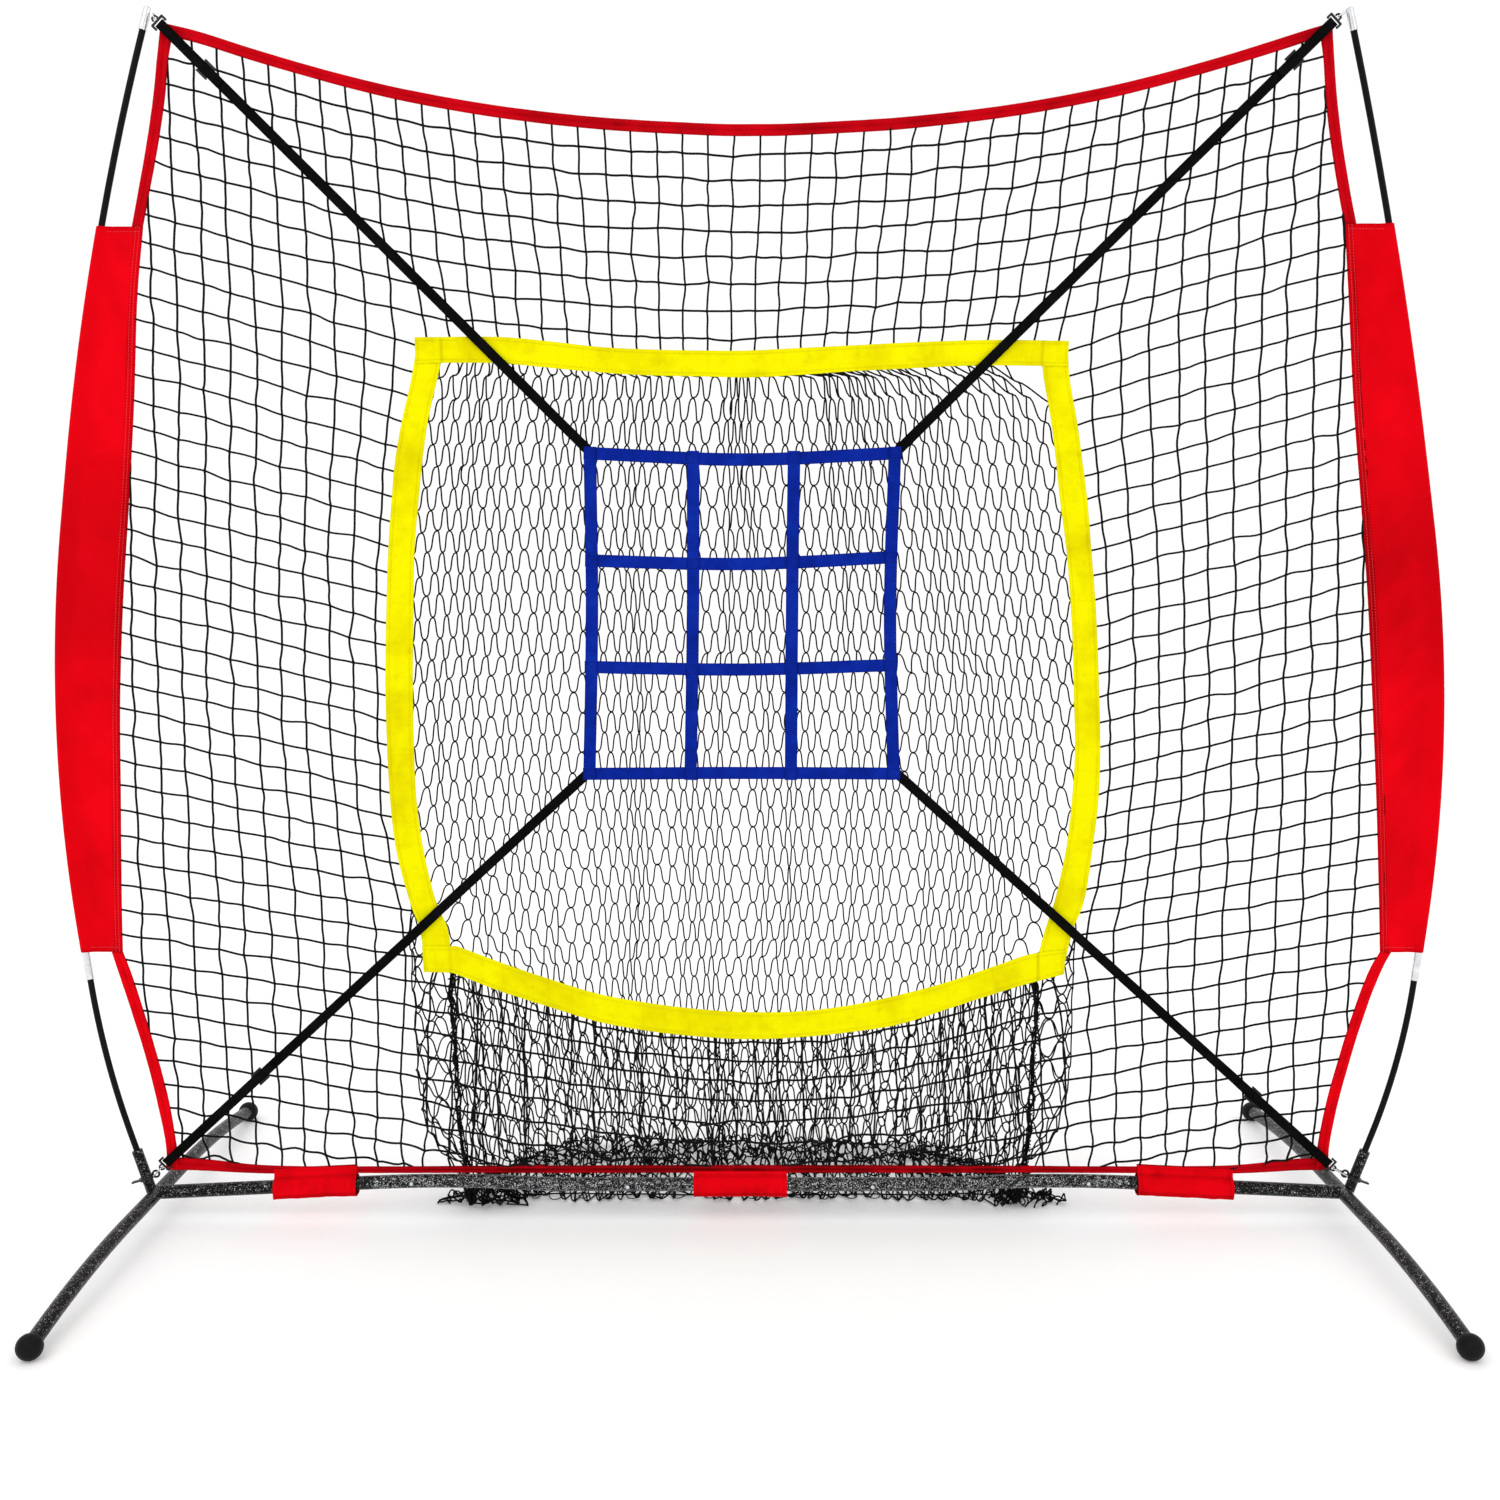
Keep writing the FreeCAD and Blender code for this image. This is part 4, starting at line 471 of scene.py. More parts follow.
def value_noise(x, seed, octaves=3):
    """Smooth repeatable 1-D noise in -1..1."""
    out, amp, tot = np.zeros_like(x, float), 1.0, 0.0
    for o in range(octaves):
        g = np.random.default_rng(seed * 97 + o)
        table = g.uniform(-1, 1, 4096)
        xi = np.floor(x * 2**o).astype(int)
        f = x * 2**o - xi
        f = f * f * (3 - 2 * f)
        out += amp * (table[xi % 4096] * (1 - f) + table[(xi + 1) % 4096] * f)
        tot += amp
        amp *= 0.5
    return out / tot


def noise2(x, y, seed, octaves=3):
    """Smooth repeatable 2-D noise in -1..1."""
    out, amp, tot = np.zeros(np.broadcast(x, y).shape), 1.0, 0.0
    for o in range(octaves):
        g = np.random.default_rng(seed * 131 + o)
        table = g.uniform(-1, 1, (256, 256))
        u, v = x * 2**o, y * 2**o
        i, j = np.floor(u).astype(int), np.floor(v).astype(int)
        fu, fv = u - i, v - j
        fu, fv = fu * fu * (3 - 2 * fu), fv * fv * (3 - 2 * fv)
        a = table[i % 256, j % 256] * (1 - fu) + table[(i + 1) % 256, j % 256] * fu
        b = table[i % 256, (j + 1) % 256] * (1 - fu) + table[(i + 1) % 256, (j + 1) % 256] * fu
        out += amp * (a * (1 - fv) + b * fv)
        tot += amp
        amp *= 0.5
    return out / tot


def loft(rings, closed_ends=True):
    """A surface through rings (M, K, 3), each a closed loop."""
    rings = np.asarray(rings, float)
    m, k, _ = rings.shape
    verts = rings.reshape(-1, 3)
    i = np.arange(m - 1)[:, None] * k
    j = np.arange(k)[None, :]
    j2 = (j + 1) % k
    quads = np.stack([i + j, i + j2, i + k + j2, i + k + j], axis=-1).reshape(-1, 4)
    sets = [quads]
    if closed_ends:
        sets.append(np.arange(k)[None, ::-1])
        sets.append((m - 1) * k + np.arange(k)[None, :])
    return verts, sets


def ribbon(edge_a, edge_b, y_front, y_back, across=8, front=None, back=None, round_edge=0.5):
    """A closed strip between two matching edges (M, 2) in mm. front and back give the offset of each face (M, across+1)."""
    edge_a, edge_b = np.asarray(edge_a, float), np.asarray(edge_b, float)
    m = len(edge_a)
    t = np.linspace(0, 1, across + 1)
    pts = edge_a[:, None, :] * (1 - t)[None, :, None] + edge_b[:, None, :] * t[None, :, None]
    # the faces close towards each other at the edges
    lip = np.clip(np.minimum(t, 1 - t) * (across * 0.9), 0, 1)
    lip = 1 - (1 - lip) ** 2
    mid = (y_front + y_back) / 2
    yf = mid + (y_front - mid) * (round_edge + (1 - round_edge) * lip)[None, :] + (0 if front is None else front)
    yb = mid + (y_back - mid) * (round_edge + (1 - round_edge) * lip)[None, :] + (0 if back is None else back)
    f = np.stack([pts[:, :, 0], np.broadcast_to(yf, (m, across + 1)), pts[:, :, 1]], axis=2)
    b = np.stack([pts[:, :, 0], np.broadcast_to(yb, (m, across + 1)), pts[:, :, 1]], axis=2)
    ring = np.concatenate([f, b[:, ::-1]], axis=1) * MM
    return ring


def stitches(line, y, pitch, length, radius, rear=False):
    """A row of thread stitches along a line of (x, z) in mm, on the face at y (a number, or one for each stitch)."""
    line = np.asarray(line, float)
    s = np.concatenate([[0], np.cumsum(np.linalg.norm(np.diff(line, axis=0), axis=1))])
    n = max(int(s[-1] / pitch), 1)
    mid = (np.arange(n) + 0.5) * s[-1] / n
    yv = np.full(n, y) if np.ndim(y) == 0 else np.interp(mid, np.linspace(0, s[-1], len(y)), y)
    pts = []
    for k, off in enumerate((-0.5, -0.28, 0.0, 0.28, 0.5)):
        t = np.clip(mid + off * length, 0, s[-1])
        x, z = np.interp(t, s, line[:, 0]), np.interp(t, s, line[:, 1])
        lift = (0.45, 0.05, -0.18, 0.05, 0.45)[k] * (-1 if rear else 1)
        pts.append(np.stack([x, yv + lift, z], axis=1))
    paths = np.stack(pts, axis=1) * MM
    return tubes(paths, radius * MM, 5)


ALL = []


def add(ob):
    ALL.append(ob)
    return ob


def closed(ob):
    """Turns every face of a closed piece outwards."""
    import bmesh
    bm = bmesh.new()
    bm.from_mesh(ob.data)
    bmesh.ops.recalc_face_normals(bm, faces=bm.faces)
    bm.to_mesh(ob.data)
    bm.free()
    return ob


# ------------------------------------------------------------------ outlines shared with the frame, in mm (x, z)
INNER = {
    "left": [(1046.2, 1785.0), (1062.2, 1662.1), (1075.4, 1492.3), (1092.3, 1319.8), (1111.2, 1144.7), (1125.1, 967.0), (1132.5, 786.5), (1139.7, 603.2), (1142.2, 507.5)],
    "right": [(1025.2, 1790.0), (1037.9, 1662.1), (1053.7, 1492.3), (1074.6, 1319.8), (1095.3, 1144.7), (1111.8, 967.0), (1127.5, 786.5), (1141.0, 603.2), (1147.2, 507.0)],
}
SLEEVE_Z = {"left": (1785.0, 507.5), "right": (1790.0, 507.0)}
UPPER_OUT = {
    "left": [(1000.5, 2119.5), (1009.5, 2059.8), (1019.3, 1994.5), (1035.6, 1912.3), (1053.4, 1834.0), (1065.0, 1785.6)],
    "right": [(988.5, 2119.5), (994.2, 2059.8), (1002.3, 1994.5), (1016.5, 1912.3), (1033.5, 1834.0), (1044.5, 1790.6)],
}
UPPER_IN = {
    "left": [(980.5, 2107.0), (990.8, 2059.8), (999.7, 1994.5), (1016.2, 1912.3), (1034.4, 1834.0), (1046.2, 1785.6)],
    "right": [(968.0, 2107.4), (976.5, 2059.8), (983.5, 1994.5), (997.4, 1912.3), (1013.9, 1834.0), (1025.2, 1790.6)],
}
LOWER_OUT = {
    "left": [(1162.0, 506.9), (1152.5, 473.2), (1136.9, 417.0), (1112.0, 322.8), (1092.4, 227.9), (1079.5, 142.4), (1081.0, 94.5)],
    "right": [(1167.0, 506.4), (1151.0, 473.2), (1131.4, 417.0), (1105.6, 322.8), (1084.2, 227.9), (1070.7, 142.4), (1072.0, 94.5)],
}
LOWER_IN = {
    "left": [(1142.2, 506.9), (1130.6, 473.2), (1115.0, 417.0), (1090.9, 322.8), (1071.3, 227.9), (1060.9, 146.1), (1058.0, 96.2)],
    "right": [(1147.2, 506.4), (1129.8, 473.2), (1110.5, 417.0), (1085.0, 322.8), (1063.0, 227.9), (1050.4, 146.1), (1047.0, 96.2)],
}
TOP_HALF = [(934.4, 2105.3, 2086.0), (850.5, 2079.3, 2060.0), (766.3, 2054.9, 2036.0), (681.8, 2032.9, 2013.6), (575.0, 2009.2, 1989.6), (427.1, 1984.5, 1965.0), (256.4, 1966.0, 1946.4), (85.5, 1956.3, 1937.0)]
BOTTOM_HALF = [(1010.0, 114.9, 93.0), (897.0, 103.0, 87.5), (741.0, 100.5, 88.0), (600.0, 101.0, 88.5), (463.0, 101.8, 88.5), (200.0, 102.8, 88.5)]
YL_OUT = [(-580.6, 1576.0), (-590.3, 1526.1), (-607.8, 1457.7), (-621.8, 1388.9), (-629.9, 1319.7), (-638.4, 1232.6), (-643.5, 1144.8), (-647.7, 1056.4), (-650.2, 967.2), (-650.0, 877.4), (-647.1, 786.9), (-638.8, 695.8), (-617.7, 603.8), (-599.2, 548.4), (-594.0, 490.0)]
YL_IN = [(-534.0, 1572.0), (-545.0, 1526.1), (-562.3, 1457.7), (-573.7, 1388.9), (-582.4, 1319.7), (-591.7, 1232.6), (-595.7, 1144.8), (-598.9, 1056.4), (-601.2, 967.2), (-601.7, 877.4), (-599.5, 786.9), (-589.2, 695.8), (-569.7, 603.8), (-548.4, 548.4), (-544.0, 488.0)]
YR_OUT = [(553.0, 1572.0), (557.2, 1526.1), (571.1, 1457.7), (582.4, 1388.9), (593.0, 1319.7), (602.3, 1232.6), (611.6, 1144.8), (618.4, 1056.4), (623.5, 967.2), (627.6, 877.4), (626.5, 786.9), (618.1, 695.8), (606.0, 603.8), (586.5, 548.4), (573.5, 488.0)]
YR_IN = [(506.0, 1572.0), (511.9, 1526.1), (525.7, 1457.7), (536.0, 1388.9), (544.7, 1319.7), (558.2, 1232.6), (567.4, 1144.8), (574.0, 1056.4), (578.0, 967.2), (582.0, 877.4), (578.8, 786.9), (570.2, 695.8), (552.5, 603.8), (535.7, 548.4), (521.0, 486.0)]
YT_OUT = [(-582.0, 1598.6), (-533.0, 1599.1), (-433.9, 1599.1), (-347.2, 1591.5), (-260.5, 1582.2), (-173.7, 1577.9), (-86.9, 1576.2), (0.0, 1576.2), (86.9, 1580.5), (173.7, 1584.7), (260.5, 1589.0), (347.2, 1592.4), (434.0, 1594.1), (553.5, 1592.4)]
YT_IN = [(-581.0, 1553.5), (-533.9, 1555.0), (-434.8, 1554.2), (-347.9, 1546.5), (-261.0, 1538.8), (-174.1, 1533.7), (-87.0, 1532.0), (0.0, 1530.3), (87.0, 1534.6), (174.0, 1540.6), (261.0, 1544.8), (347.9, 1549.1), (434.8, 1550.8), (552.0, 1548.9)]
YB_OUT = [(-594.0, 470.4), (-546.0, 469.0), (-528.5, 463.7), (-456.1, 434.7), (-365.4, 404.8), (-274.3, 376.6), (-183.0, 359.6), (-91.6, 349.3), (0.0, 344.6), (91.6, 348.3), (183.0, 357.8), (274.4, 372.8), (365.4, 402.9), (456.2, 432.9), (510.5, 449.7), (572.3, 466.5)]
YB_IN = [(-596.0, 519.2), (-543.6, 518.7), (-527.2, 516.7), (-455.1, 488.9), (-364.6, 457.2), (-273.7, 429.1), (-182.6, 412.3), (-91.4, 401.0), (0.0, 395.4), (91.4, 397.2), (182.6, 408.5), (273.7, 428.2), (364.6, 453.4), (455.2, 485.2), (509.4, 503.8), (573.0, 512.5)]
SIDES = (("left", -1), ("right", 1))

POLE = {"left": (1109.96, 16.89, (10.466, 14.358, 8.931)), "right": (1110.61, 19.03, (13.400, 15.160, 4.935))}


def pole_line(name):
    """The pole's centre line as (outboard x, z) from its foot up."""
    x, angle, turns = POLE[name]
    z, h = 53.37, math.radians(angle)
    line = [(x, z)]
    runs = [(115.0, 0.0), (299.06, turns[0]), (100.0, 0.0), (730.78, turns[1]), (100.0, 0.0), (743.51, turns[2])]
    for length, turn in runs:
        steps = max(int(length / 5), 1)
        for _ in range(steps):
            dh = -math.radians(turn) / steps
            x += length / steps * math.sin(h + dh / 2)
            z += length / steps * math.cos(h + dh / 2)
            h += dh
            line.append((x, z))
    return np.array(line)


def by_height(points, z):
    p = np.asarray(points, float)
    order = np.argsort(p[:, 1])
    return np.interp(z, p[order, 1], p[order, 0])


# ------------------------------------------------------------------ side sleeves: a double cloth panel with the pole in its outer fold
for name, side in SIDES:
    hi, lo = SLEEVE_Z[name]
    n = 170
    z = np.linspace(hi, lo, n)
    xc = by_height(pole_line(name), z)
    inner_line = smooth_line(INNER[name], 4.0)
    xi = by_height(inner_line, z)
    t_len = (hi - z) / (hi - lo)
    width = xc - xi
    # half section from the outer fold to the inner hem, as (distance inboard of the pole, half depth)
    R = 8.3
    arcs = [(-R * math.cos(a), R * math.sin(a)) for a in np.linspace(0.0, math.pi / 2, 7)]
    m_flat = 22
    rows_f, rows_b, shade = [], [], []
    for k in range(n):
        zz = z[k]
        flare = 0.9 * math.exp(-t_len[k] * 40) + 0.9 * math.exp(-(1 - t_len[k]) * 40)
        sec = [(d, h) for d, h in arcs]
        w = width[k]
        for j in range(1, m_flat + 1):
            s = j / m_flat
            d = s * w
            taper = R * max(0.0, 1 - d / 30.0) ** 1.6
            hem = 1.15 * (1.0 if w - d < 11.5 else 0.0) + 0.4 * math.exp(-((w - d - 9.2) / 1.6) ** 2)
            edge = -0.9 if w - d < 0.5 else 0.0
            sec.append((d, max(1.25 + hem + edge, taper)))
        d = np.array([q[0] for q in sec])
        h = np.array([q[1] for q in sec])
        inside = np.clip((d - 12) / 20, 0, 1) * np.clip((w - d - 6) / 10, 0, 1)
        wr_f = noise2(np.full_like(d, zz / 70.0 + 3), d / 42.0 + 0.012 * zz, 5 + (side > 0), 3) * 1.7 * inside
        wr_f += noise2(np.full_like(d, zz / 230.0), d / 90.0 + zz / 400.0, 9 + (side > 0), 2) * 1.6 * inside
        wr_b = noise2(np.full_like(d, zz / 80.0 + 9), d / 46.0 - 0.010 * zz, 15 + (side > 0), 3) * 1.2 * inside
        ends = math.exp(-min(t_len[k], 1 - t_len[k]) * (hi - lo) / 9.0)
        rows_f.append(np.stack([side * (xc[k] - d), -(h + flare * inside * 1.5) + np.minimum(wr_f, 0.9), np.full_like(d, zz)], axis=1))
        rows_b.append(np.stack([side * (xc[k] - d), (h + flare * inside * 1.2) + np.maximum(wr_b, -0.9), np.full_like(d, zz)], axis=1))
        # painted shade: darker in the wrinkles' hollows, in a broad band round z 1190 mm and towards both ends, along
        # the seam groove and the line beside the net seam, over the strip at the inner edge (more on the right sleeve),
        # and at the fold round the pole
        sh_f = np.clip(0.10 + 0.11 * wr_f * inside, 0, 1) + 0.30 / (1 + ((zz - 1190) / 165.0) ** 6) + 0.22 * ends
        groove = 0.55 * np.exp(-((w - d - 12.2) / 1.2) ** 2) + 0.22 * np.exp(-((w - d - 5.2) / 1.2) ** 2) + (0.20 if side > 0 else 0.08) * (w - d < 11.5) + 0.45 * np.exp(-((d + R) / 2.0) ** 2)
        shade.append(np.concatenate([sh_f + groove, (sh_f + groove)[:0:-1]]))
    outer = np.concatenate([np.array(rows_f), np.array(rows_b)[:, :0:-1]], axis=1)
    # the cloth's own thickness, seen at the open ends
    inner = outer.copy()
    inner[:, :, 1] *= 0.86
    inner[:, :, 1] = np.where(np.abs(outer[:, :, 1]) < 2.4, outer[:, :, 1] * 0.45, inner[:, :, 1])
    cx = side * xc[:, None]
    inner[:, :, 0] = cx + (outer[:, :, 0] - cx) * np.where((outer[:, :, 0] - cx) * side > 0, 0.87, 0.985)
    m, k2, _ = outer.shape
    verts = np.concatenate([outer.reshape(-1, 3), inner.reshape(-1, 3)]) * MM
    i = np.arange(m - 1)[:, None] * k2
    j = np.arange(k2)[None, :]
    j2 = (j + 1) % k2
    qo = np.stack([i + j, i + j2, i + k2 + j2, i + k2 + j], axis=-1).reshape(-1, 4)
    qi = qo[:, ::-1] + m * k2
    j = np.arange(k2)
    j2 = (j + 1) % k2
    top = np.stack([j, j + m * k2, j2 + m * k2, j2], axis=-1)
    last = (m - 1) * k2
    bot = np.stack([last + j, last + j2, last + j2 + m * k2, last + j + m * k2], axis=-1)
    # the cloth's inside faces carry deep painted shade
    sh = np.concatenate([np.array(shade).ravel(), np.full(m * k2, 0.9)])
    ob = closed(build("side_sleeve_%s_cloth" % name, verts, [qo, qi, top, bot], MAT["red"], {"shade": sh}))
    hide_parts("side_sleeve_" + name)
    length = float(np.sum(np.linalg.norm(np.diff(np.stack([xc, z], axis=1), axis=0), axis=1))) * MM
    add(ob)
    # three rows of stitching: along the net seam, beside the pole and across both hems
    parts = []
    for off in (5.0, 11.0):
        line = np.stack([side * (xi + off), z], axis=1)
        parts.append(stitches(line, -2.9 if off > 6 else -2.65, 5.2, 3.6, 0.42))
        parts.append(stitches(line, 2.5, 5.2, 3.6, 0.42, rear=True))
    for zz, k in ((hi - 9.0, 2), (lo + 9.0, n - 3)):
        line = np.array([(side * (xc[k] - 12.0), zz), (side * (xi[k] + 4.0), zz)])
        parts.append(stitches(line, -3.4, 5.2, 3.6, 0.42))
        parts.append(stitches(line, 3.2, 5.2, 3.6, 0.42, rear=True))
    v, f = joined(parts)
    add(build("side_sleeve_%s_stitches" % name, v, f, MAT["thread_light"]))


# ------------------------------------------------------------------ binding tape round the net
def tape(label, edge_a, edge_b, node, seed, mat="dark_red", half=2.7, pucker=1.0, groove=0.5, step=5.0, painted_shadow=0.0):
    a, b = np.asarray(edge_a, float), np.asarray(edge_b, float)
    la = smooth_line(a, 2.0)
    s = np.concatenate([[0], np.cumsum(np.linalg.norm(np.diff(la, axis=0), axis=1))])
    m = max(int(s[-1] / step), 4)
    share = np.linspace(0, 1, m + 1)
    A, B = at_share(a, share), at_share(b, share)
    across = 10
    t = np.linspace(0, 1, across + 1)
    u = share[:, None] * s[-1]
    # two plump edges with a sewn hollow between, puckered where the mesh is caught
    body = 0.55 * np.cos((t - 0.5) * 2 * math.pi * 1.0) * -1
    hollow = -0.75 * np.exp(-((t - 0.5) / 0.16) ** 2) * groove
    puck = noise2(u / 22.0, t[None, :] * 2.0 + seed, 21 + seed, 3) * 0.55 * pucker
    front = -(hollow[None, :] + 0.30 * body[None, :]) * 1.0 - puck
    back = (hollow[None, :] + 0.30 * body[None, :]) + noise2(u / 24.0, t[None, :] * 2.0, 51 + seed, 3) * 0.45 * pucker
    # slow wander of the whole tape
    wander = value_noise(share * s[-1] / 90.0, 61 + seed, 2)[:, None] * 0.8
    ring = ribbon(A, B, -half, half, across, front + wander, back + wander, 0.45)
    v, f = loft(ring)
    # painted shade in the sewn hollow, along both edges and in the puckers' dents
    sh_line = 0.42 * np.exp(-((t - 0.5) / 0.12) ** 2) + 0.25 * np.exp(-(t / 0.06) ** 2) + 0.25 * np.exp(-((1 - t) / 0.06) ** 2)
    sh = sh_line[None, :] * (0.75 + 0.35 * noise2(u / 35.0, t[None, :] * 1.5, 71 + seed, 2)) + np.clip(-puck * 0.5, -0.05, 0.5)
    # the middle stretch, |x| under about 590 mm, is darkened as a painted shadow
    sh = sh + painted_shadow * (0.8 + 0.5 * noise2(u / 40.0, t[None, :] * 2.0, 91 + seed, 2)) / (1 + (np.abs(A[:, :1]) / 590.0) ** 14)
    sh = np.clip(sh, 0, 1)
    shade = np.concatenate([sh, sh[:, ::-1]], axis=1).ravel()
    ob = closed(build(label + "_tape", v, f, MAT[mat], {"shade": shade}))
    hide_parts(node)
    add(ob)
    parts = []
    for share_w in (0.2, 0.8):
        line = A * (1 - share_w) + B * share_w
        yv = -half - 0.25 + wander[:, 0]
        parts.append(stitches(line, yv, 4.6, 3.2, 0.36))
        parts.append(stitches(line, half + 0.15 + wander[:, 0], 4.6, 3.2, 0.36, rear=True))
    v, f = joined(parts)
    add(build(label + "_stitches", v, f, MAT["thread_red"]))
    return A, B


top_out = [(-1000.0, 2121.0)] + [(-x, a) for x, a, b in TOP_HALF] + [(0.0, 1954.8)] + [(x, a) for x, a, b in reversed(TOP_HALF)] + [(988.0, 2121.0)]
top_in = [(-984.0, 2098.0)] + [(-x, b) for x, a, b in TOP_HALF] + [(0.0, 1935.4)] + [(x, b) for x, a, b in reversed(TOP_HALF)] + [(972.0, 2098.0)]
tape("top_binding", top_out, top_in, "top_binding", 1)
bot_out = [(-1079.6, 94.3)] + [(-x, b) for x, a, b in BOTTOM_HALF] + [(0.0, 88.5)] + [(x, b) for x, a, b in reversed(BOTTOM_HALF)] + [(1070.6, 94.3)]
bot_in = [(-1071.4, 118.5)] + [(-x, a) for x, a, b in BOTTOM_HALF] + [(0.0, 103.2)] + [(x, a) for x, a, b in reversed(BOTTOM_HALF)] + [(1062.4, 117.6)]
tape("bottom_binding", bot_out, bot_in, "bottom_binding", 2, half=2.2, pucker=1.2, painted_shadow=0.85)
for name, side in SIDES:
    tape("side_binding_upper_" + name, [(side * x, z) for x, z in UPPER_OUT[name]], [(side * x, z) for x, z in UPPER_IN[name]], "side_binding_upper_" + name, 3 + (side > 0), groove=1.0)
    tape("side_binding_lower_" + name, [(side * x, z) for x, z in LOWER_OUT[name]], [(side * x, z) for x, z in LOWER_IN[name]], "side_binding_lower_" + name, 5 + (side > 0), mat="red", groove=0.8, pucker=1.4)


# ------------------------------------------------------------------ yellow bands round the mouth, the net caught between two layers
def band(label, edge_out, edge_in, node, y_front, y_back, seed, blocks=()):
    la = smooth_line(np.asarray(edge_out, float), 2.0)
    total = float(np.sum(np.linalg.norm(np.diff(la, axis=0), axis=1)))
    m = int(total / 4.5)
    share = np.linspace(0, 1, m + 1)
    A, B = at_share(edge_out, share), at_share(edge_in, share)
    across = 16
    t = np.linspace(0, 1, across + 1)
    u = share[:, None] * total
    tt = t[None, :]
    # the mesh shows through as low ridges, with short diagonal wrinkles between them
    mesh_x = np.exp(-(((u + 9 * seed) / 43.5 + 0.10 * tt) % 1.0 - 0.5) ** 2 / 0.0030)
    mesh_t = np.exp(-((tt - 0.42 - 0.05 * np.sin(u / 160.0 + seed)) / 0.055) ** 2)
    wrinkle = noise2((u + 22 * tt) / 26.0, tt * 2.4 + seed, 31 + seed, 4)
    long = noise2(u / 120.0, tt * 1.2 + seed * 3, 41 + seed, 2)
    relief = 0.75 * mesh_x + 0.55 * mesh_t + 0.75 * wrinkle + 0.5 * long
    hem = 0.5 * (np.exp(-((tt - 0.075) / 0.05) ** 2) + np.exp(-((tt - 0.925) / 0.05) ** 2))
    front = -(relief * 0.75 + hem)
    back = (0.6 * mesh_x + 0.5 * mesh_t) * 0.5 + noise2(u / 24.0, tt * 2.2, 81 + seed, 3) * 0.4
    ring = ribbon(A, B, y_front, y_back, across, front, back, 0.35)
    v, f = loft(ring)
    # painted shade in the wrinkles' hollows, beside each mesh ridge, along both stitch lines and across the block
    # seams; the noise term below adds darker patches
    sh = 0.05 + 0.20 * np.clip(-wrinkle - 0.05, 0, 1) + 0.06 * (1 - mesh_x) * np.exp(-(((u + 9 * seed) / 43.5 + 0.10 * tt) % 1.0 - 0.40) ** 2 / 0.003) + 0.16 * (np.exp(-((tt - 0.14) / 0.02) ** 2) + np.exp(-((tt - 0.86) / 0.02) ** 2))
    for at in blocks:
        sh = sh + (0.30 if abs(at) > 20 else 0.12) * np.exp(-((u - (at if at >= 0 else total + at)) / 1.8) ** 2)
    sh = sh + 0.22 * np.clip(noise2(u / 16.0, tt * 3.0 + seed, 95 + seed, 3) - 0.42, 0, 1) / 0.5
    sh = np.clip(sh, 0, 0.5)
    shade = np.concatenate([sh, sh[:, ::-1]], axis=1).ravel()
    ob = closed(build(label + "_cloth", v, f, MAT["yellow"], {"shade": shade}))
    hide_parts(node)
    add(ob)
    parts = []
    for share_w in (0.13, 0.87):
        line = A * (1 - share_w) + B * share_w
        parts.append(stitches(line, y_front - 0.75, 5.0, 3.4, 0.34))
        parts.append(stitches(line, y_back + 0.35, 5.0, 3.4, 0.34, rear=True))
    for at in blocks:   # sewn across the band where the next one crosses
        k = int(round(at / total * m)) if at >= 0 else m + int(round(at / total * m))
        k = min(max(k, 0), m)
        line = np.linspace(A[k] * 0.93 + B[k] * 0.07, A[k] * 0.07 + B[k] * 0.93, 12)
        parts.append(stitches(line, y_front - 1.0, 4.2, 3.0, 0.36))
    v, f = joined(parts)
    add(build(label + "_stitches", v, f, MAT["thread_yellow"]))


band("mouth_band_left", YL_OUT, YL_IN, "mouth_band_left", -2.9, -1.5, 1)
band("mouth_band_right", YR_OUT, YR_IN, "mouth_band_right", -2.9, -1.5, 2)
band("mouth_band_top", YT_OUT, YT_IN, "mouth_band_top", -4.9, -3.3, 3, blocks=(46.0, -46.0, 6.0, -6.0))
band("mouth_band_bottom", YB_OUT, YB_IN, "mouth_band_bottom", -4.9, -3.3, 4, blocks=(48.0, -50.0, 6.0, -6.0))


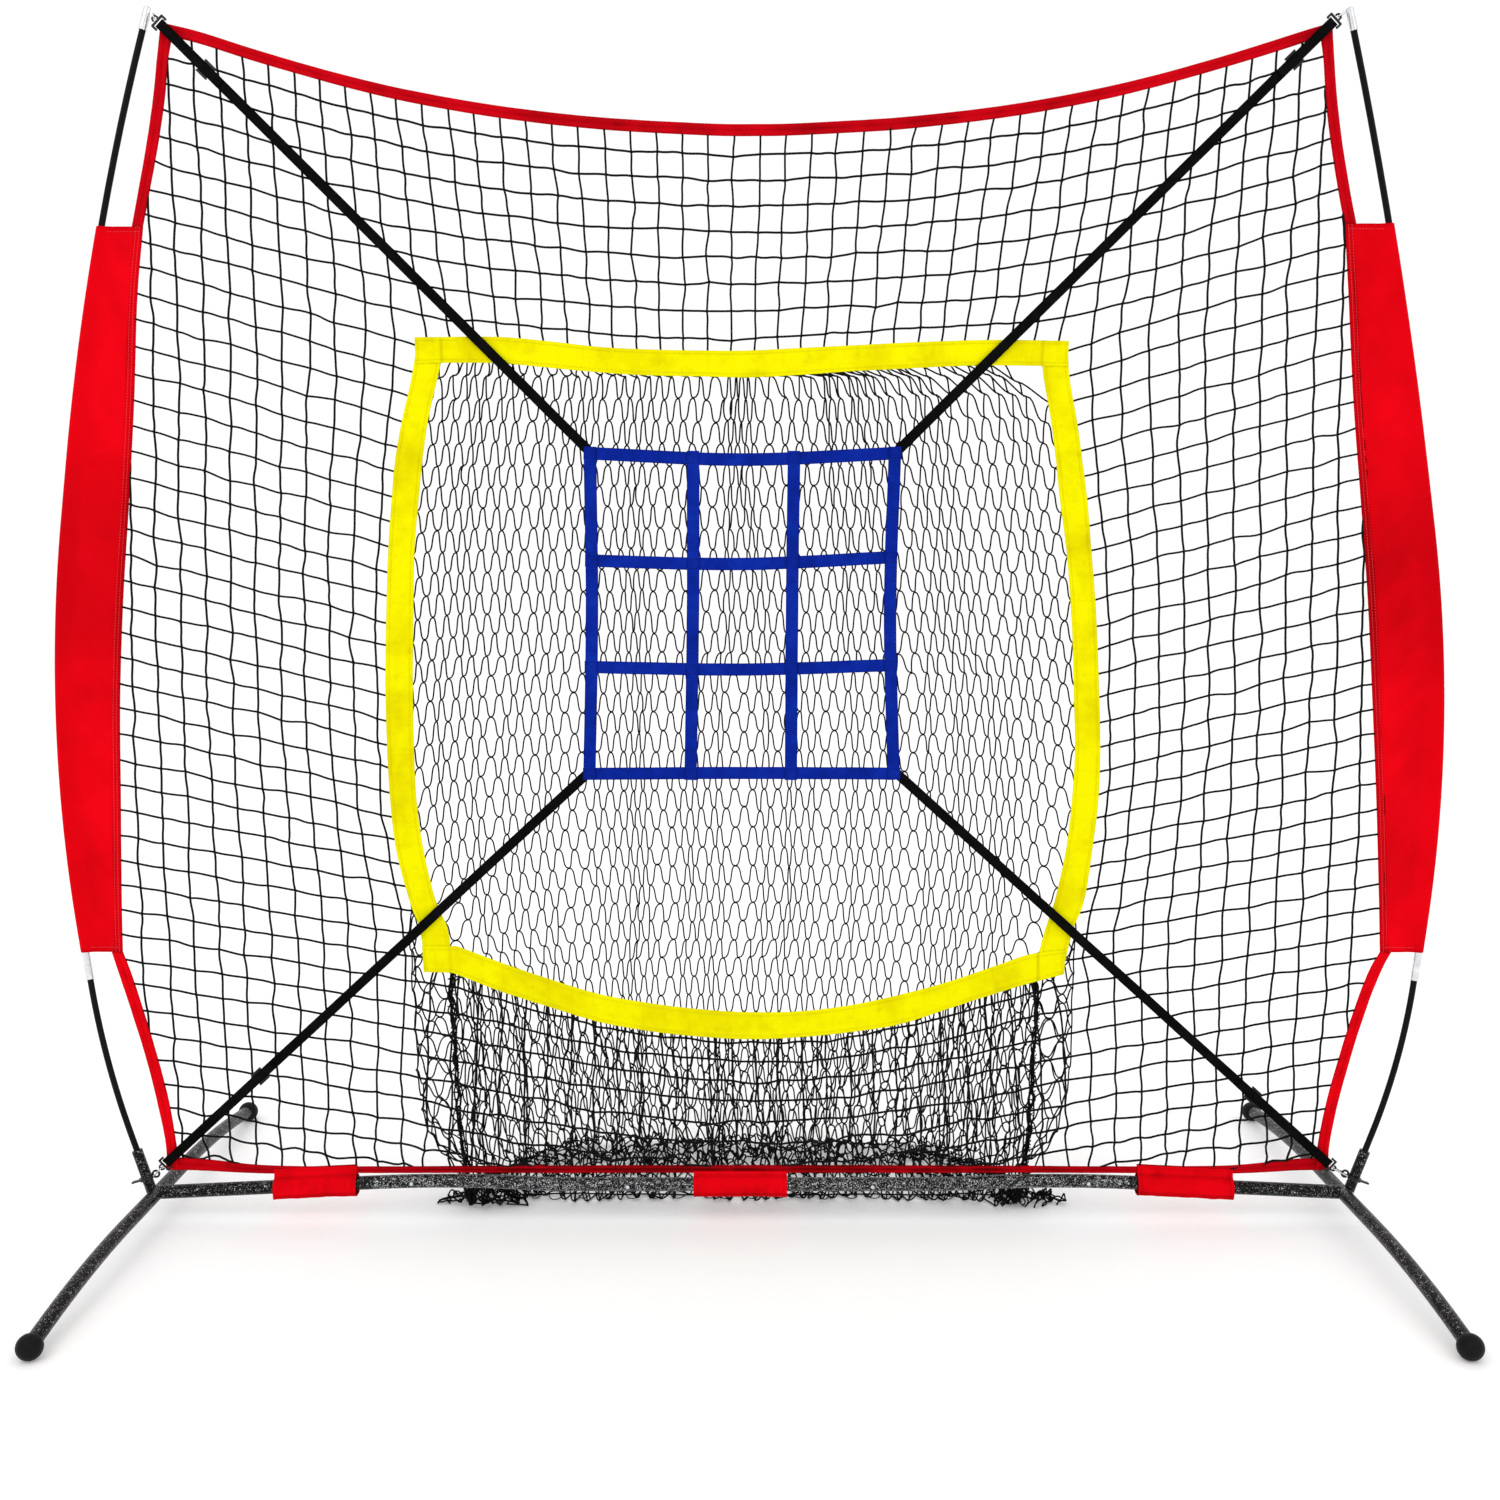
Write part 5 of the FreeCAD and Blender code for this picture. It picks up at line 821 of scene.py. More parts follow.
# ------------------------------------------------------------------ webbing: strike zone and corner straps
def webbing(label, line, width, y, thick, mat, pitch=2.7, node=None, ribs=0.13, ends=True, wave=0.0, seed=0, y_line=None):
    """Woven tape with cross ribs and a turned edge, along a line of (x, z). Returns the piece and its centre line."""
    dense = smooth_line(np.asarray(line, float), pitch / 4.0)
    tang = np.gradient(dense, axis=0)
    tang /= np.linalg.norm(tang, axis=1, keepdims=True)
    nrm = np.stack([-tang[:, 1], tang[:, 0]], axis=1)
    s = np.concatenate([[0], np.cumsum(np.linalg.norm(np.diff(dense, axis=0), axis=1))])
    wob = value_noise(s / 60.0, 300 + seed, 2) * 0.35
    A = dense + nrm * (width / 2 + wob[:, None] * 0.5)
    B = dense - nrm * (width / 2 - wob[:, None] * 0.5)
    across = 10
    t = np.linspace(0, 1, across + 1)
    phase = (s / pitch) % 1.0
    rib = 0.5 + 0.5 * np.cos(phase * 2 * math.pi)
    edge = np.exp(-(t / 0.07) ** 2) + np.exp(-((1 - t) / 0.07) ** 2)
    lift = ribs * rib[:, None] * (1 - 0.8 * edge[None, :]) + 0.16 * edge[None, :]
    sway = value_noise(s / 140.0, 400 + seed, 2) * wave
    yy = sway[:, None] + (0 if y_line is None else np.interp(s, np.linspace(0, s[-1], len(y_line)), y_line)[:, None])
    ring = ribbon(A, B, y - thick / 2, y + thick / 2, across, -lift + yy, lift * 0.8 + yy, 0.55)
    v, f = loft(ring)
    r = np.broadcast_to(rib[:, None], (len(s), across + 1)) * (1 - edge[None, :])
    # painted shade between the ribs and along both turned edges
    sh = np.clip(0.10 * (1 - rib[:, None]) + 0.30 * np.exp(-(np.minimum(t, 1 - t) / 0.03) ** 2)[None, :], 0, 1)
    attrs = {"rib": np.concatenate([r, r[:, ::-1]], axis=1).ravel(), "shade": np.concatenate([sh, sh[:, ::-1]], axis=1).ravel()}
    ob = closed(build(label, v, f, mat, attrs))
    if node:
        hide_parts(node)
    add(ob)
    return ob, dense


UP = [[(-279.1, 1411.0), (-279.0, 1123.9), (-287.1, 825.0)], [(-99.4, 1404.0), (-100.7, 1123.9), (-106.4, 824.5)],
      [(76.8, 1404.0), (74.2, 1123.9), (73.3, 824.5)], [(252.9, 1411.0), (247.2, 1123.9), (257.0, 825.0)]]
CROSS = [[(-290.5, 1400.3), (-14.0, 1389.1), (264.8, 1400.3)], [(-290.3, 1214.1), (-14.1, 1208.0), (258.6, 1220.2)],
         [(-293.4, 1026.7), (-14.2, 1022.3), (261.0, 1030.2)], [(-298.6, 835.4), (-14.3, 837.1), (268.6, 836.0)]]
ups, crosses = [], []
for k, line in enumerate(UP):
    ob, dense = webbing("strike_upright_%d" % (k + 1), line, 22.0, -13.4, 1.3, MAT["blue"], seed=k, node="strike_zone_uprights")
    ups.append((ob, dense))
for k, line in enumerate(CROSS):
    ob, dense = webbing("strike_crossbar_%d" % (k + 1), line, 22.0, -11.6, 1.3, MAT["blue"], seed=10 + k, node="strike_zone_crossbars")
    crosses.append((ob, dense))
parts = []
for _, up in ups:
    for _, cr in crosses:
        d = np.linalg.norm(up[:, None, :] - cr[None, ::8, :], axis=2)
        i, j = np.unravel_index(np.argmin(d), d.shape)
        c = up[i]
        tu = up[min(i + 12, len(up) - 1)] - up[max(i - 12, 0)]
        tu /= np.linalg.norm(tu)
        tn = np.array([-tu[1], tu[0]])
        q = [c + tu * a * 8.2 + tn * b * 8.2 for a, b in ((-1, -1), (-1, 1), (1, 1), (1, -1), (-1, -1))]
        for p0, p1 in zip(q, q[1:]):
            parts.append(stitches(np.linspace(p0, p1, 6), -14.42, 2.7, 2.2, 0.34))
        for p0, p1 in ((q[0], q[2]), (q[1], q[3])):
            parts.append(stitches(np.linspace(p0, p1, 6), -14.42, 2.9, 2.2, 0.34))
        for p0, p1 in zip(q, q[1:]):
            parts.append(stitches(np.linspace(p0, p1, 6), -10.75, 2.7, 2.2, 0.34, rear=True))
v, f = joined(parts)
add(build("strike_zone_box_stitches", v, f, MAT["thread_blue"]))

STRAPS = {
    "top_left": ((-276.0, 1398.5), (-1000.0, 2117.0), (-928.0, 2036.0)),
    "top_right": ((255.0, 1401.5), (988.0, 2120.0), (927.0, 2052.0)),
    "bottom_left": ((-288.0, 838.5), (-1078.0, 109.8), (-900.5, 281.4)),
    "bottom_right": ((260.0, 838.5), (1069.4, 107.6), (913.5, 232.0)),
}
for k, key in enumerate(("top_left", "top_right", "bottom_left", "bottom_right")):
    (ix, iz), (hx, hz), (sx, sz) = STRAPS[key]
    p, q = np.array([ix, iz]), np.array([hx, hz])
    length = float(np.linalg.norm(q - p))
    d = (q - p) / length
    s_at = float((np.array([sx, sz]) - p) @ d)
    nodes = ["corner_strap_" + key]
    # back layer, from the sewn end behind the strike zone's corner to the hook's bar
    ob, _ = webbing("corner_strap_%s_back" % key, [p - d * 14.0, p + d * length * 0.33, p + d * length * 0.66, q - d * 3.6], 17.5, -9.9, 1.3, MAT["black_web"], 2.2, nodes[0], seed=30 + k)
    # front layer, from its free end inboard of the slider to the fold round the hook's bar
    webbing("corner_strap_%s_front" % key, [p + d * (s_at - 34.0), p + d * (s_at * 0.5 + length * 0.5), q - d * 3.6], 17.5, -13.25, 1.2, MAT["black_web"], 2.2, nodes[0], seed=40 + k)
    # the fold itself, edge on
    arc = []
    for a in np.linspace(0, math.pi, 13):
        arc.append((math.sin(a) * 1.68, math.cos(a) * 1.68))
    nn = np.array([-d[1], d[0]])
    ring = []
    for a, b in arc:
        centre = q - d * 3.9 + d * max(a, 0.0) * 1.9
        y = -11.58 + b
        a_in = max(a - 0.62, 0.0)
        ring.append((centre, y))
    rows = []
    for (c_, y_) in ring:
        rows.append([np.array([*(c_ + nn * w), y_]) for w in np.linspace(-8.75, 8.75, 9)])
    rows = np.array(rows)[:, :, [0, 2, 1]]
    c0 = np.array([(q - d * 3.9)[0], -11.58, (q - d * 3.9)[1]])
    inner_rows = rows.copy()
    mid = np.array([c0[0], c0[1], c0[2]])
    ax3 = np.array([nn[0], 0.0, nn[1]])
    rel = rows - mid
    along = (rel @ ax3)[..., None] * ax3
    inner_rows = mid + along + (rel - along) * 0.45
    k1, k2 = rows.shape[0], rows.shape[1]
    loops = np.concatenate([rows, inner_rows[:, ::-1]], axis=1) * MM
    v, f = loft(loops)
    add(closed(build("corner_strap_%s_fold" % key, v, f, MAT["black_web"], {"rib": np.full(len(v), 0.3), "shade": np.full(len(v), 0.1)})))
    # bar tack rows at the sewn end and beside the hook
    parts = []
    nn = np.array([-d[1], d[0]])
    for s0 in (length - 22.0, length - 27.0, s_at - 28.0):
        for w in np.linspace(-6.8, 6.8, 6):
            a, b = p + d * s0 + nn * w, p + d * (s0 + 3.2) + nn * w
            parts.append(stitches(np.array([a, b]), -14.15, 3.4, 3.0, 0.42))
    for s0 in (-8.0, -4.0, 4.0):
        for w in np.linspace(-6.5, 6.5, 6):
            a, b = p + d * s0 + nn * w, p + d * (s0 + 3.0) + nn * w
            parts.append(stitches(np.array([a, b]), -9.05, 3.4, 3.0, 0.42, rear=True))
    v, f = joined(parts)
    add(build("corner_strap_%s_tacks" % key, v, f, MAT["thread_black"]))


# ------------------------------------------------------------------ cloth sleeves round the base bar, sewn to the bottom binding
for k, (label, neck, low, tilt) in enumerate((("bar_sleeve_left", 35.0, -22.0, 1), ("bar_sleeve_middle", 26.0, -21.5, 0), ("bar_sleeve_right", 35.0, -22.0, -1))):
    lo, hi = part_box(label)
    x0, x1 = lo[0] / MM + 0.6, hi[0] / MM - 0.6
    zc = (lo[2] + hi[2]) / 2 / MM - (neck + low) / 2
    cx = (x0 + x1) / 2
    slope = math.tan(math.radians(2.73)) * tilt
    half = [(3.3, neck), (3.2, 31.0), (3.5, 24.0), (4.4, 18.4), (8.0, 14.8), (12.0, 11.0), (14.6, 6.4), (15.9, 1.0), (16.2, -5.0), (15.6, -10.0), (14.7, -13.5), (13.6, -17.2), (9.0, -20.6), (3.0, -21.6)]
    half = [(a, min(b, neck)) for a, b in half]
    half = smooth_line(np.array(half), 1.6)
    sec = np.concatenate([half, (half * [-1, 1])[::-1]])
    nx = 56
    xs = np.linspace(x0, x1, nx)
    around = np.concatenate([[0], np.cumsum(np.linalg.norm(np.diff(sec, axis=0), axis=1))])
    outer, shade = [], []
    for x in xs:
        w = noise2(np.full(len(sec), x / 26.0), around / 22.0, 120 + k, 3) * 0.9 + noise2(np.full(len(sec), x / 9.0), around / 30.0, 130 + k, 2) * 0.45
        grow = 1.0 + w / 17.0
        hem = min(x - x0, x1 - x)
        grow = grow * (1.0 + 0.035 * math.exp(-hem / 5.0))
        y = np.clip(sec[:, 0] * grow, -16.4, 16.4)
        z = np.where(sec[:, 1] < 17, sec[:, 1] * grow, sec[:, 1])
        z = np.maximum(z, low)
        outer.append(np.stack([np.full(len(sec), x), y, zc + z + (x - cx) * slope], axis=1))
        # painted shade: a dark line along the lower fold, the whole underside below it, the neck, the wrinkles' hollows
        # and a line beside each hem
        fold_underside_shade = 0.5 * np.exp(-((sec[:, 1] + 12.5) / 1.6) ** 2) + 0.35 * (sec[:, 1] < -13.5) + 0.35 * np.exp(-((sec[:, 1] - 18.0) / 2.6) ** 2)
        shade.append(np.clip(fold_underside_shade + 0.35 * np.clip(-w, 0, 1) + 0.30 * math.exp(-((hem - 7.0) / 1.0) ** 2), 0, 1))
    outer = np.array(outer)
    # inside face: a cloth thickness in from the outside
    centre = outer.copy()
    centre[:, :, 1] = 0
    inner = outer.copy()
    dy = outer[:, :, 1]
    zrel = outer[:, :, 2] - (zc + (outer[:, :, 0] - cx) * slope)
    r = np.sqrt(dy**2 + zrel**2)
    pull = np.clip(1 - 1.1 / np.maximum(r, 2), 0.3, 1)
    inner[:, :, 1] = np.where(zrel < 17, dy * pull, np.sign(dy) * np.maximum(np.abs(dy) - 1.0, 2.1))
    inner[:, :, 2] = np.where(zrel < 17, outer[:, :, 2] - zrel * (1 - pull), outer[:, :, 2])
    ring_o, ring_i = outer, inner
    m, kk, _ = outer.shape
    verts = np.concatenate([ring_o.reshape(-1, 3), ring_i.reshape(-1, 3)]) * MM
    i = np.arange(m - 1)[:, None] * kk
    j = np.arange(kk - 1)[None, :]
    qo = np.stack([i + j, i + j + 1, i + kk + j + 1, i + kk + j], axis=-1).reshape(-1, 4)
    qi = qo[:, ::-1] + m * kk
    i1 = np.arange(m - 1) * kk
    lip_a = np.stack([i1, i1 + kk, i1 + kk + m * kk, i1 + m * kk], axis=-1)
    lip_b = lip_a + kk - 1
    j1 = np.arange(kk - 1)
    end_a = np.stack([j1, j1 + m * kk, j1 + 1 + m * kk, j1 + 1], axis=-1)
    end_b = end_a[:, ::-1] + (m - 1) * kk
    # the inside faces carry deep painted shade
    ob = closed(build(label + "_cloth", verts, [qo, qi, lip_a, lip_b[:, ::-1], end_a, end_b], MAT["red"], {"shade": np.concatenate([np.array(shade).ravel(), np.full(m * kk, 0.8)])}))
    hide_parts(label)
    add(ob)
    parts = []
    for yy, rear in ((-3.75, False), (3.75, True)):
        for up in (20.5, neck - 4.0):
            line = np.array([(x0 + 3, zc + up + (x0 + 3 - cx) * slope), (x1 - 3, zc + up + (x1 - 3 - cx) * slope)])
            parts.append(stitches(line, yy, 4.6, 3.2, 0.4, rear=rear))
    for xx in (x0 + 7.0, x1 - 7.0):
        row = [(xx, -16.55 - 0.1, zc + zz + (xx - cx) * slope) for zz in (-8.0, -3.4, 1.2)]
        v = np.array([[(xx, -16.7, zz - 1.5 + 0.0), (xx, -16.9, zz), (xx, -16.7, zz + 1.5)] for (xx, _, zz) in row]) * MM
        parts.append(tubes(v, 0.00035, 5))
    v, f = joined(parts)
    add(build(label + "_stitches", v, f, MAT["thread_red"]))


# ------------------------------------------------------------------ square mesh net
def mid_line(a, b, k=0.5):
    return [(p[0] * (1 - k) + q[0] * k, p[1] * (1 - k) + q[1] * k) for p, q in zip(a, b)]


NI, NJ = 51, 46
RI, RJ = (12, 39), (9, 34)
# the mesh is straight and its outline is cut to the bowed sides, so the grid starts outside them
rim = mid_line(top_out, top_in)
top_mid = at_share([(-1122.0, 2150.0)] + rim + [(1112.0, 2150.0)], np.linspace(0, 1, NI + 1))
SIDE_X = [(2150.0, 1120.0), (1785.0, 1124.0), (1400.0, 1132.0), (1000.0, 1146.0), (507.0, 1152.0), (120.0, 1138.0), (37.0, 1132.0)]
side_mid, border = {}, {}
for name, side in SIDES:
    line = [(side * x, z) for x, z in mid_line(UPPER_OUT[name], UPPER_IN[name], 0.75)]
    line += [(side * (x + 2.5), z) for x, z in INNER[name][1:]]
    line += [(side * x, z) for x, z in mid_line(LOWER_OUT[name], LOWER_IN[name], 0.75)[1:]]
    border[name] = smooth_line(line, 6.0)[::-1]
    side_mid[name] = at_share([(side * (x if side < 0 else x - 8.0), z) for z, x in SIDE_X], np.linspace(0, 1, NJ + 1))
    side_mid[name][0] = top_mid[0 if side < 0 else -1]
grid = np.zeros((NI + 1, NJ + 1, 2))
fixed = np.zeros((NI + 1, NJ + 1), bool)
xb = np.linspace(side_mid["left"][-1][0], side_mid["right"][-1][0], NI + 1)
bottom_row = np.stack([xb, -140.0 + 178.0 * ((xb / 1045.0) ** 2 + 0.012) ** 0.56], axis=1)
for i in range(NI + 1):
    f = i / NI
    for j in range(NJ + 1):
        g = j / NJ
        a = side_mid["left"][j] * (1 - f) + side_mid["right"][j] * f
        b = top_mid[i] * (1 - g) + bottom_row[i] * g
        c = (top_mid[0] * (1 - f) + top_mid[-1] * f) * (1 - g) + (bottom_row[0] * (1 - f) + bottom_row[-1] * f) * g
        grid[i, j] = a + b - c
grid[:, 0], grid[:, NJ], grid[0], grid[NI] = top_mid, bottom_row, side_mid["left"], side_mid["right"]
fixed[:, 0] = fixed[:, NJ] = True
fixed[0] = fixed[NI] = True
yl, yr = mid_line(YL_OUT, YL_IN), mid_line(YR_OUT, YR_IN)
yt, yb = mid_line(YT_OUT, YT_IN), mid_line(YB_OUT, YB_IN)
yl[0], yl[-1] = (-557.0, 1577.0), (-570.0, 494.0)
yr[0], yr[-1] = (531.0, 1571.0), (547.0, 490.0)
yt[0], yt[-1] = yl[0], yr[0]
yb[0], yb[-1] = yl[-1], yr[-1]
nh, nv = RI[1] - RI[0], RJ[1] - RJ[0]
grid[RI[0], RJ[0]:RJ[1] + 1] = at_share(yl, np.linspace(0, 1, nv + 1))
grid[RI[1], RJ[0]:RJ[1] + 1] = at_share(yr, np.linspace(0, 1, nv + 1))
grid[RI[0]:RI[1] + 1, RJ[0]] = at_share(yt, np.linspace(0, 1, nh + 1))
grid[RI[0]:RI[1] + 1, RJ[1]] = at_share(yb, np.linspace(0, 1, nh + 1))
fixed[RI[0], RJ[0]:RJ[1] + 1] = fixed[RI[1], RJ[0]:RJ[1] + 1] = True
fixed[RI[0]:RI[1] + 1, RJ[0]] = fixed[RI[0]:RI[1] + 1, RJ[1]] = True
hole = np.zeros_like(fixed)
hole[RI[0] + 1:RI[1], RJ[0] + 1:RJ[1]] = True
free = ~fixed & ~hole
for _ in range(900):
    avg = np.zeros_like(grid)
    avg[1:-1, 1:-1] = (grid[2:, 1:-1] + grid[:-2, 1:-1] + grid[1:-1, 2:] + grid[1:-1, :-2]) / 4
    grid[free] += 1.0 * (avg[free] - grid[free])
jit = np.stack([noise2(*np.meshgrid(np.arange(NJ + 1) * 0.9, np.arange(NI + 1) * 0.9), 201, 2), noise2(*np.meshgrid(np.arange(NJ + 1) * 0.9 + 40, np.arange(NI + 1) * 0.9 + 7), 202, 2)], axis=2)
rand = np.random.default_rng(5).normal(0, 0.9, grid.shape)
slack = np.exp(-np.clip(grid[:, :, 1] - 110, 0, None) / 90.0)
grid[free] += (jit * 2.4 + rand * 1.7)[free]
grid[free] += (rand * 2.2 * slack[:, :, None])[free]
knot_y = np.random.default_rng(6).normal(0, 0.3, fixed.shape)
bind_x = np.array([p[0] for p in mid_line(bot_out, bot_in, 0.65)])
bind_z = np.array([p[1] for p in mid_line(bot_out, bot_in, 0.65)])


def in_outline(x, z, margin=0.0):
    ok = z > np.interp(x, bind_x, bind_z) + margin
    ok &= x > np.interp(z, border["left"][:, 1], border["left"][:, 0]) + margin
    ok &= x < np.interp(z, border["right"][:, 1], border["right"][:, 0]) - margin
    return ok & (z < np.interp(x, rim_x, rim_z) - margin)


rim_x = np.array([p[0] for p in mid_line(top_out, top_in, 0.75)])
rim_z = np.array([p[1] for p in mid_line(top_out, top_in, 0.75)])


def clip_path(path):
    """Cuts a cord where it meets the tape or sleeve round the net."""
    t = np.linspace(0, len(path) - 1, 26)
    dense = np.stack([np.interp(t, np.arange(len(path)), path[:, c]) for c in range(3)], axis=1)
    ok = in_outline(dense[:, 0], dense[:, 2])
    if ok.all():
        return path
    keep = np.flatnonzero(ok)
    if len(keep) < 3:
        return None
    t = np.linspace(keep[0], keep[-1], len(path))
    return np.stack([np.interp(t, np.arange(26), dense[:, c]) for c in range(3)], axis=1)


def net_cord(a, ya, b, yb_, seed):
    g = np.random.default_rng(seed)
    t = np.linspace(0, 1, 6)
    d = b - a
    ln = np.linalg.norm(d)
    nrm = np.array([-d[1], d[0]]) / ln
    low = math.exp(-max((a[1] + b[1]) / 2 - 115, 0) / 80.0)
    bow = g.normal(0, 0.55) + g.normal(0, 2.4) * low
    ess = g.normal(0, 0.45) + g.normal(0, 1.1) * low
    off = bow * np.sin(math.pi * t) + ess * np.sin(2 * math.pi * t)
    dep = g.normal(0, 0.5) * np.sin(math.pi * t)
    p = a[None] + d[None] * t[:, None] + nrm[None] * off[:, None]
    return np.stack([p[:, 0], ya + (yb_ - ya) * t + dep, p[:, 1]], axis=1)


def outside(i, j, i2, j2):
    """A cord is drawn if it isn't inside the mouth."""
    mi, mj = (i + i2) / 2, (j + j2) / 2
    return not (RI[0] < mi < RI[1] and RJ[0] < mj < RJ[1])


cross, up_, knots = [], [], []
for i in range(NI + 1):
    for j in range(NJ + 1):
        a = grid[i, j]
        if i < NI and 0 < j and outside(i, j, i + 1, j) and not ((j in RJ) and RI[0] <= i < RI[1]):
            p = clip_path(net_cord(a, knot_y[i, j], grid[i + 1, j], knot_y[i + 1, j], 7000 + i * 60 + j))
            if p is not None:
                cross.append(p)
        if j < NJ and 0 < i < NI and outside(i, j, i, j + 1) and not ((i in RI) and RJ[0] <= j < RJ[1]):
            p = clip_path(net_cord(a, knot_y[i, j], grid[i, j + 1], knot_y[i, j + 1], 17000 + i * 60 + j))
            if p is not None:
                up_.append(p)
        if free[i, j] and in_outline(a[0], a[1], 3.0):
            knots.append((a[0], knot_y[i, j], a[1]))
for label, paths in (("target_net_cross_cords", cross), ("target_net_up_cords", up_)):
    v, f = tubes(np.array(paths) * MM, 2.0 * MM, 6)
    ob = build(label, v, f, MAT["net"])
    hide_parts("target_net")
    add(ob)
kn = np.array(knots)
kr = np.random.default_rng(8).normal(1.0, 0.08, (len(kn), 1)) * np.array([[2.7, 2.2, 2.7]])
v, f = blobs(kn * MM, kr * MM, 8, 5)
ob = build("target_net_knots", v, f, MAT["net"])
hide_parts("target_net")
add(ob)


# ------------------------------------------------------------------ diamond mesh pocket, hung from the mouth and left to settle on the ground
C, ROWS = 50, 64
STRAND = 47.0
ground = 2.7
CORNER = 28          # the row that meets the mouth's lower corners


def row_size(r):
    return C + 1 if r % 2 == 0 else C


starts = np.concatenate([[0], np.cumsum([row_size(r) for r in range(ROWS + 1)])])
total = starts[-1]
row_of = np.concatenate([np.full(row_size(r), r) for r in range(ROWS + 1)])
col_of = np.concatenate([np.arange(C + 1.0) if r % 2 == 0 else np.arange(C) + 0.5 for r in range(ROWS + 1)])
edges_ = []
for r in range(ROWS):
    if r % 2 == 0:
        for c in range(C):
            edges_ += [(starts[r] + c, starts[r + 1] + c), (starts[r] + c + 1, starts[r + 1] + c)]
    else:
        for c in range(C):
            edges_ += [(starts[r] + c, starts[r + 1] + c), (starts[r] + c, starts[r + 1] + c + 1)]
edges_ = np.array(edges_)
neigh = np.concatenate([np.stack([np.arange(starts[r], starts[r + 1] - 1), np.arange(starts[r] + 1, starts[r + 1])], axis=1) for r in range(ROWS + 1)])

# knot columns keep their own spacing down the cloth: some pairs hang tight together, others stand wide
col_rng = np.random.default_rng(29)
col_set = []
for k in range(4):
    w = np.clip(1.0 + value_noise(np.arange(C) * 0.37 + 50 * k, 601 + k, 2) * 0.35 + col_rng.normal(0, 0.20, C), 0.5, 1.6)
    tight = col_rng.choice(np.arange(3, C - 3), 6, replace=False)
    w[tight] *= 0.62
    col_set.append(w)


def col_share(r):
    """Share across the cloth for each half column of a row."""
    t = r / 15.0
    k = int(t)
    f = t - k
    f = f * f * (3 - 2 * f) * 0.6
    w = col_set[k % 4] * (1 - f) + col_set[(k + 1) % 4] * f if r < 15 else col_set[1] * 0.6 + col_set[min(1 + k, 3)] * 0.4
    edge = np.concatenate([[0], np.cumsum(w)])
    return edge / edge[-1]


gather = np.clip(1.0 + col_rng.normal(0, 0.62, C), 0.22, 2.6)
gather[:3] = gather[-3:] = 0.35
gather_edge = np.concatenate([[0], np.cumsum(gather)]) / gather.sum()


def share_row(r):
    base = np.interp(col_of[starts[r]:starts[r + 1]], np.arange(C + 1), col_share(min(r, 44)))
    front = np.interp(col_of[starts[r]:starts[r + 1]], np.arange(C + 1), gather_edge)
    t = min(max((r - 46) / 8.0, 0.0), 1.0) * 0.85
    return base * (1 - t) + front * t


share_of = np.concatenate([share_row(r) for r in range(ROWS + 1)])

prof = smooth_line([(14.0, 1576.0), (58.0, 1452.0), (150.0, 1225.0), (250.0, 850.0), (326.0, 470.0), (370.0, 210.0), (392.0, 92.0), (402.0, 20.0)], 3.0)
prof_s = np.concatenate([[0], np.cumsum(np.linalg.norm(np.diff(prof, axis=0), axis=1))])
yb_line = np.array(sorted((a[0], a[1]) for a in mid_line(YB_OUT, YB_IN)))
band_edge = {"left": at_share([(x - 7.0, z) for x, z in YL_IN], np.linspace(0, 1, 301)), "right": at_share([(x + 7.0, z) for x, z in YR_IN], np.linspace(0, 1, 301))}


def band_at(name, share):
    e = band_edge[name]
    return np.array([np.interp(share, np.linspace(0, 1, 301), e[:, 0]), 1.8, np.interp(share, np.linspace(0, 1, 301), e[:, 1])])


def seam_at(name, m):
    """The corner seam, m rows below the mouth's corner: down to the ground, then back along it."""
    side = -1 if name == "left" else 1
    top = band_at(name, 1.0)
    x = top[0] * 0.985 - side * 12.0 * min(m / 4.0, 1.0)
    z = top[2] - 39.0 * m
    if z > 16.0:
        return np.array([x + side * 3.0 * math.sin(m * 0.9), 20.0 + 1.2 * m, z])
    over = (16.0 - z)
    return np.array([x - side * -0.08 * over, 34.0 + 0.62 * over, 5.0])


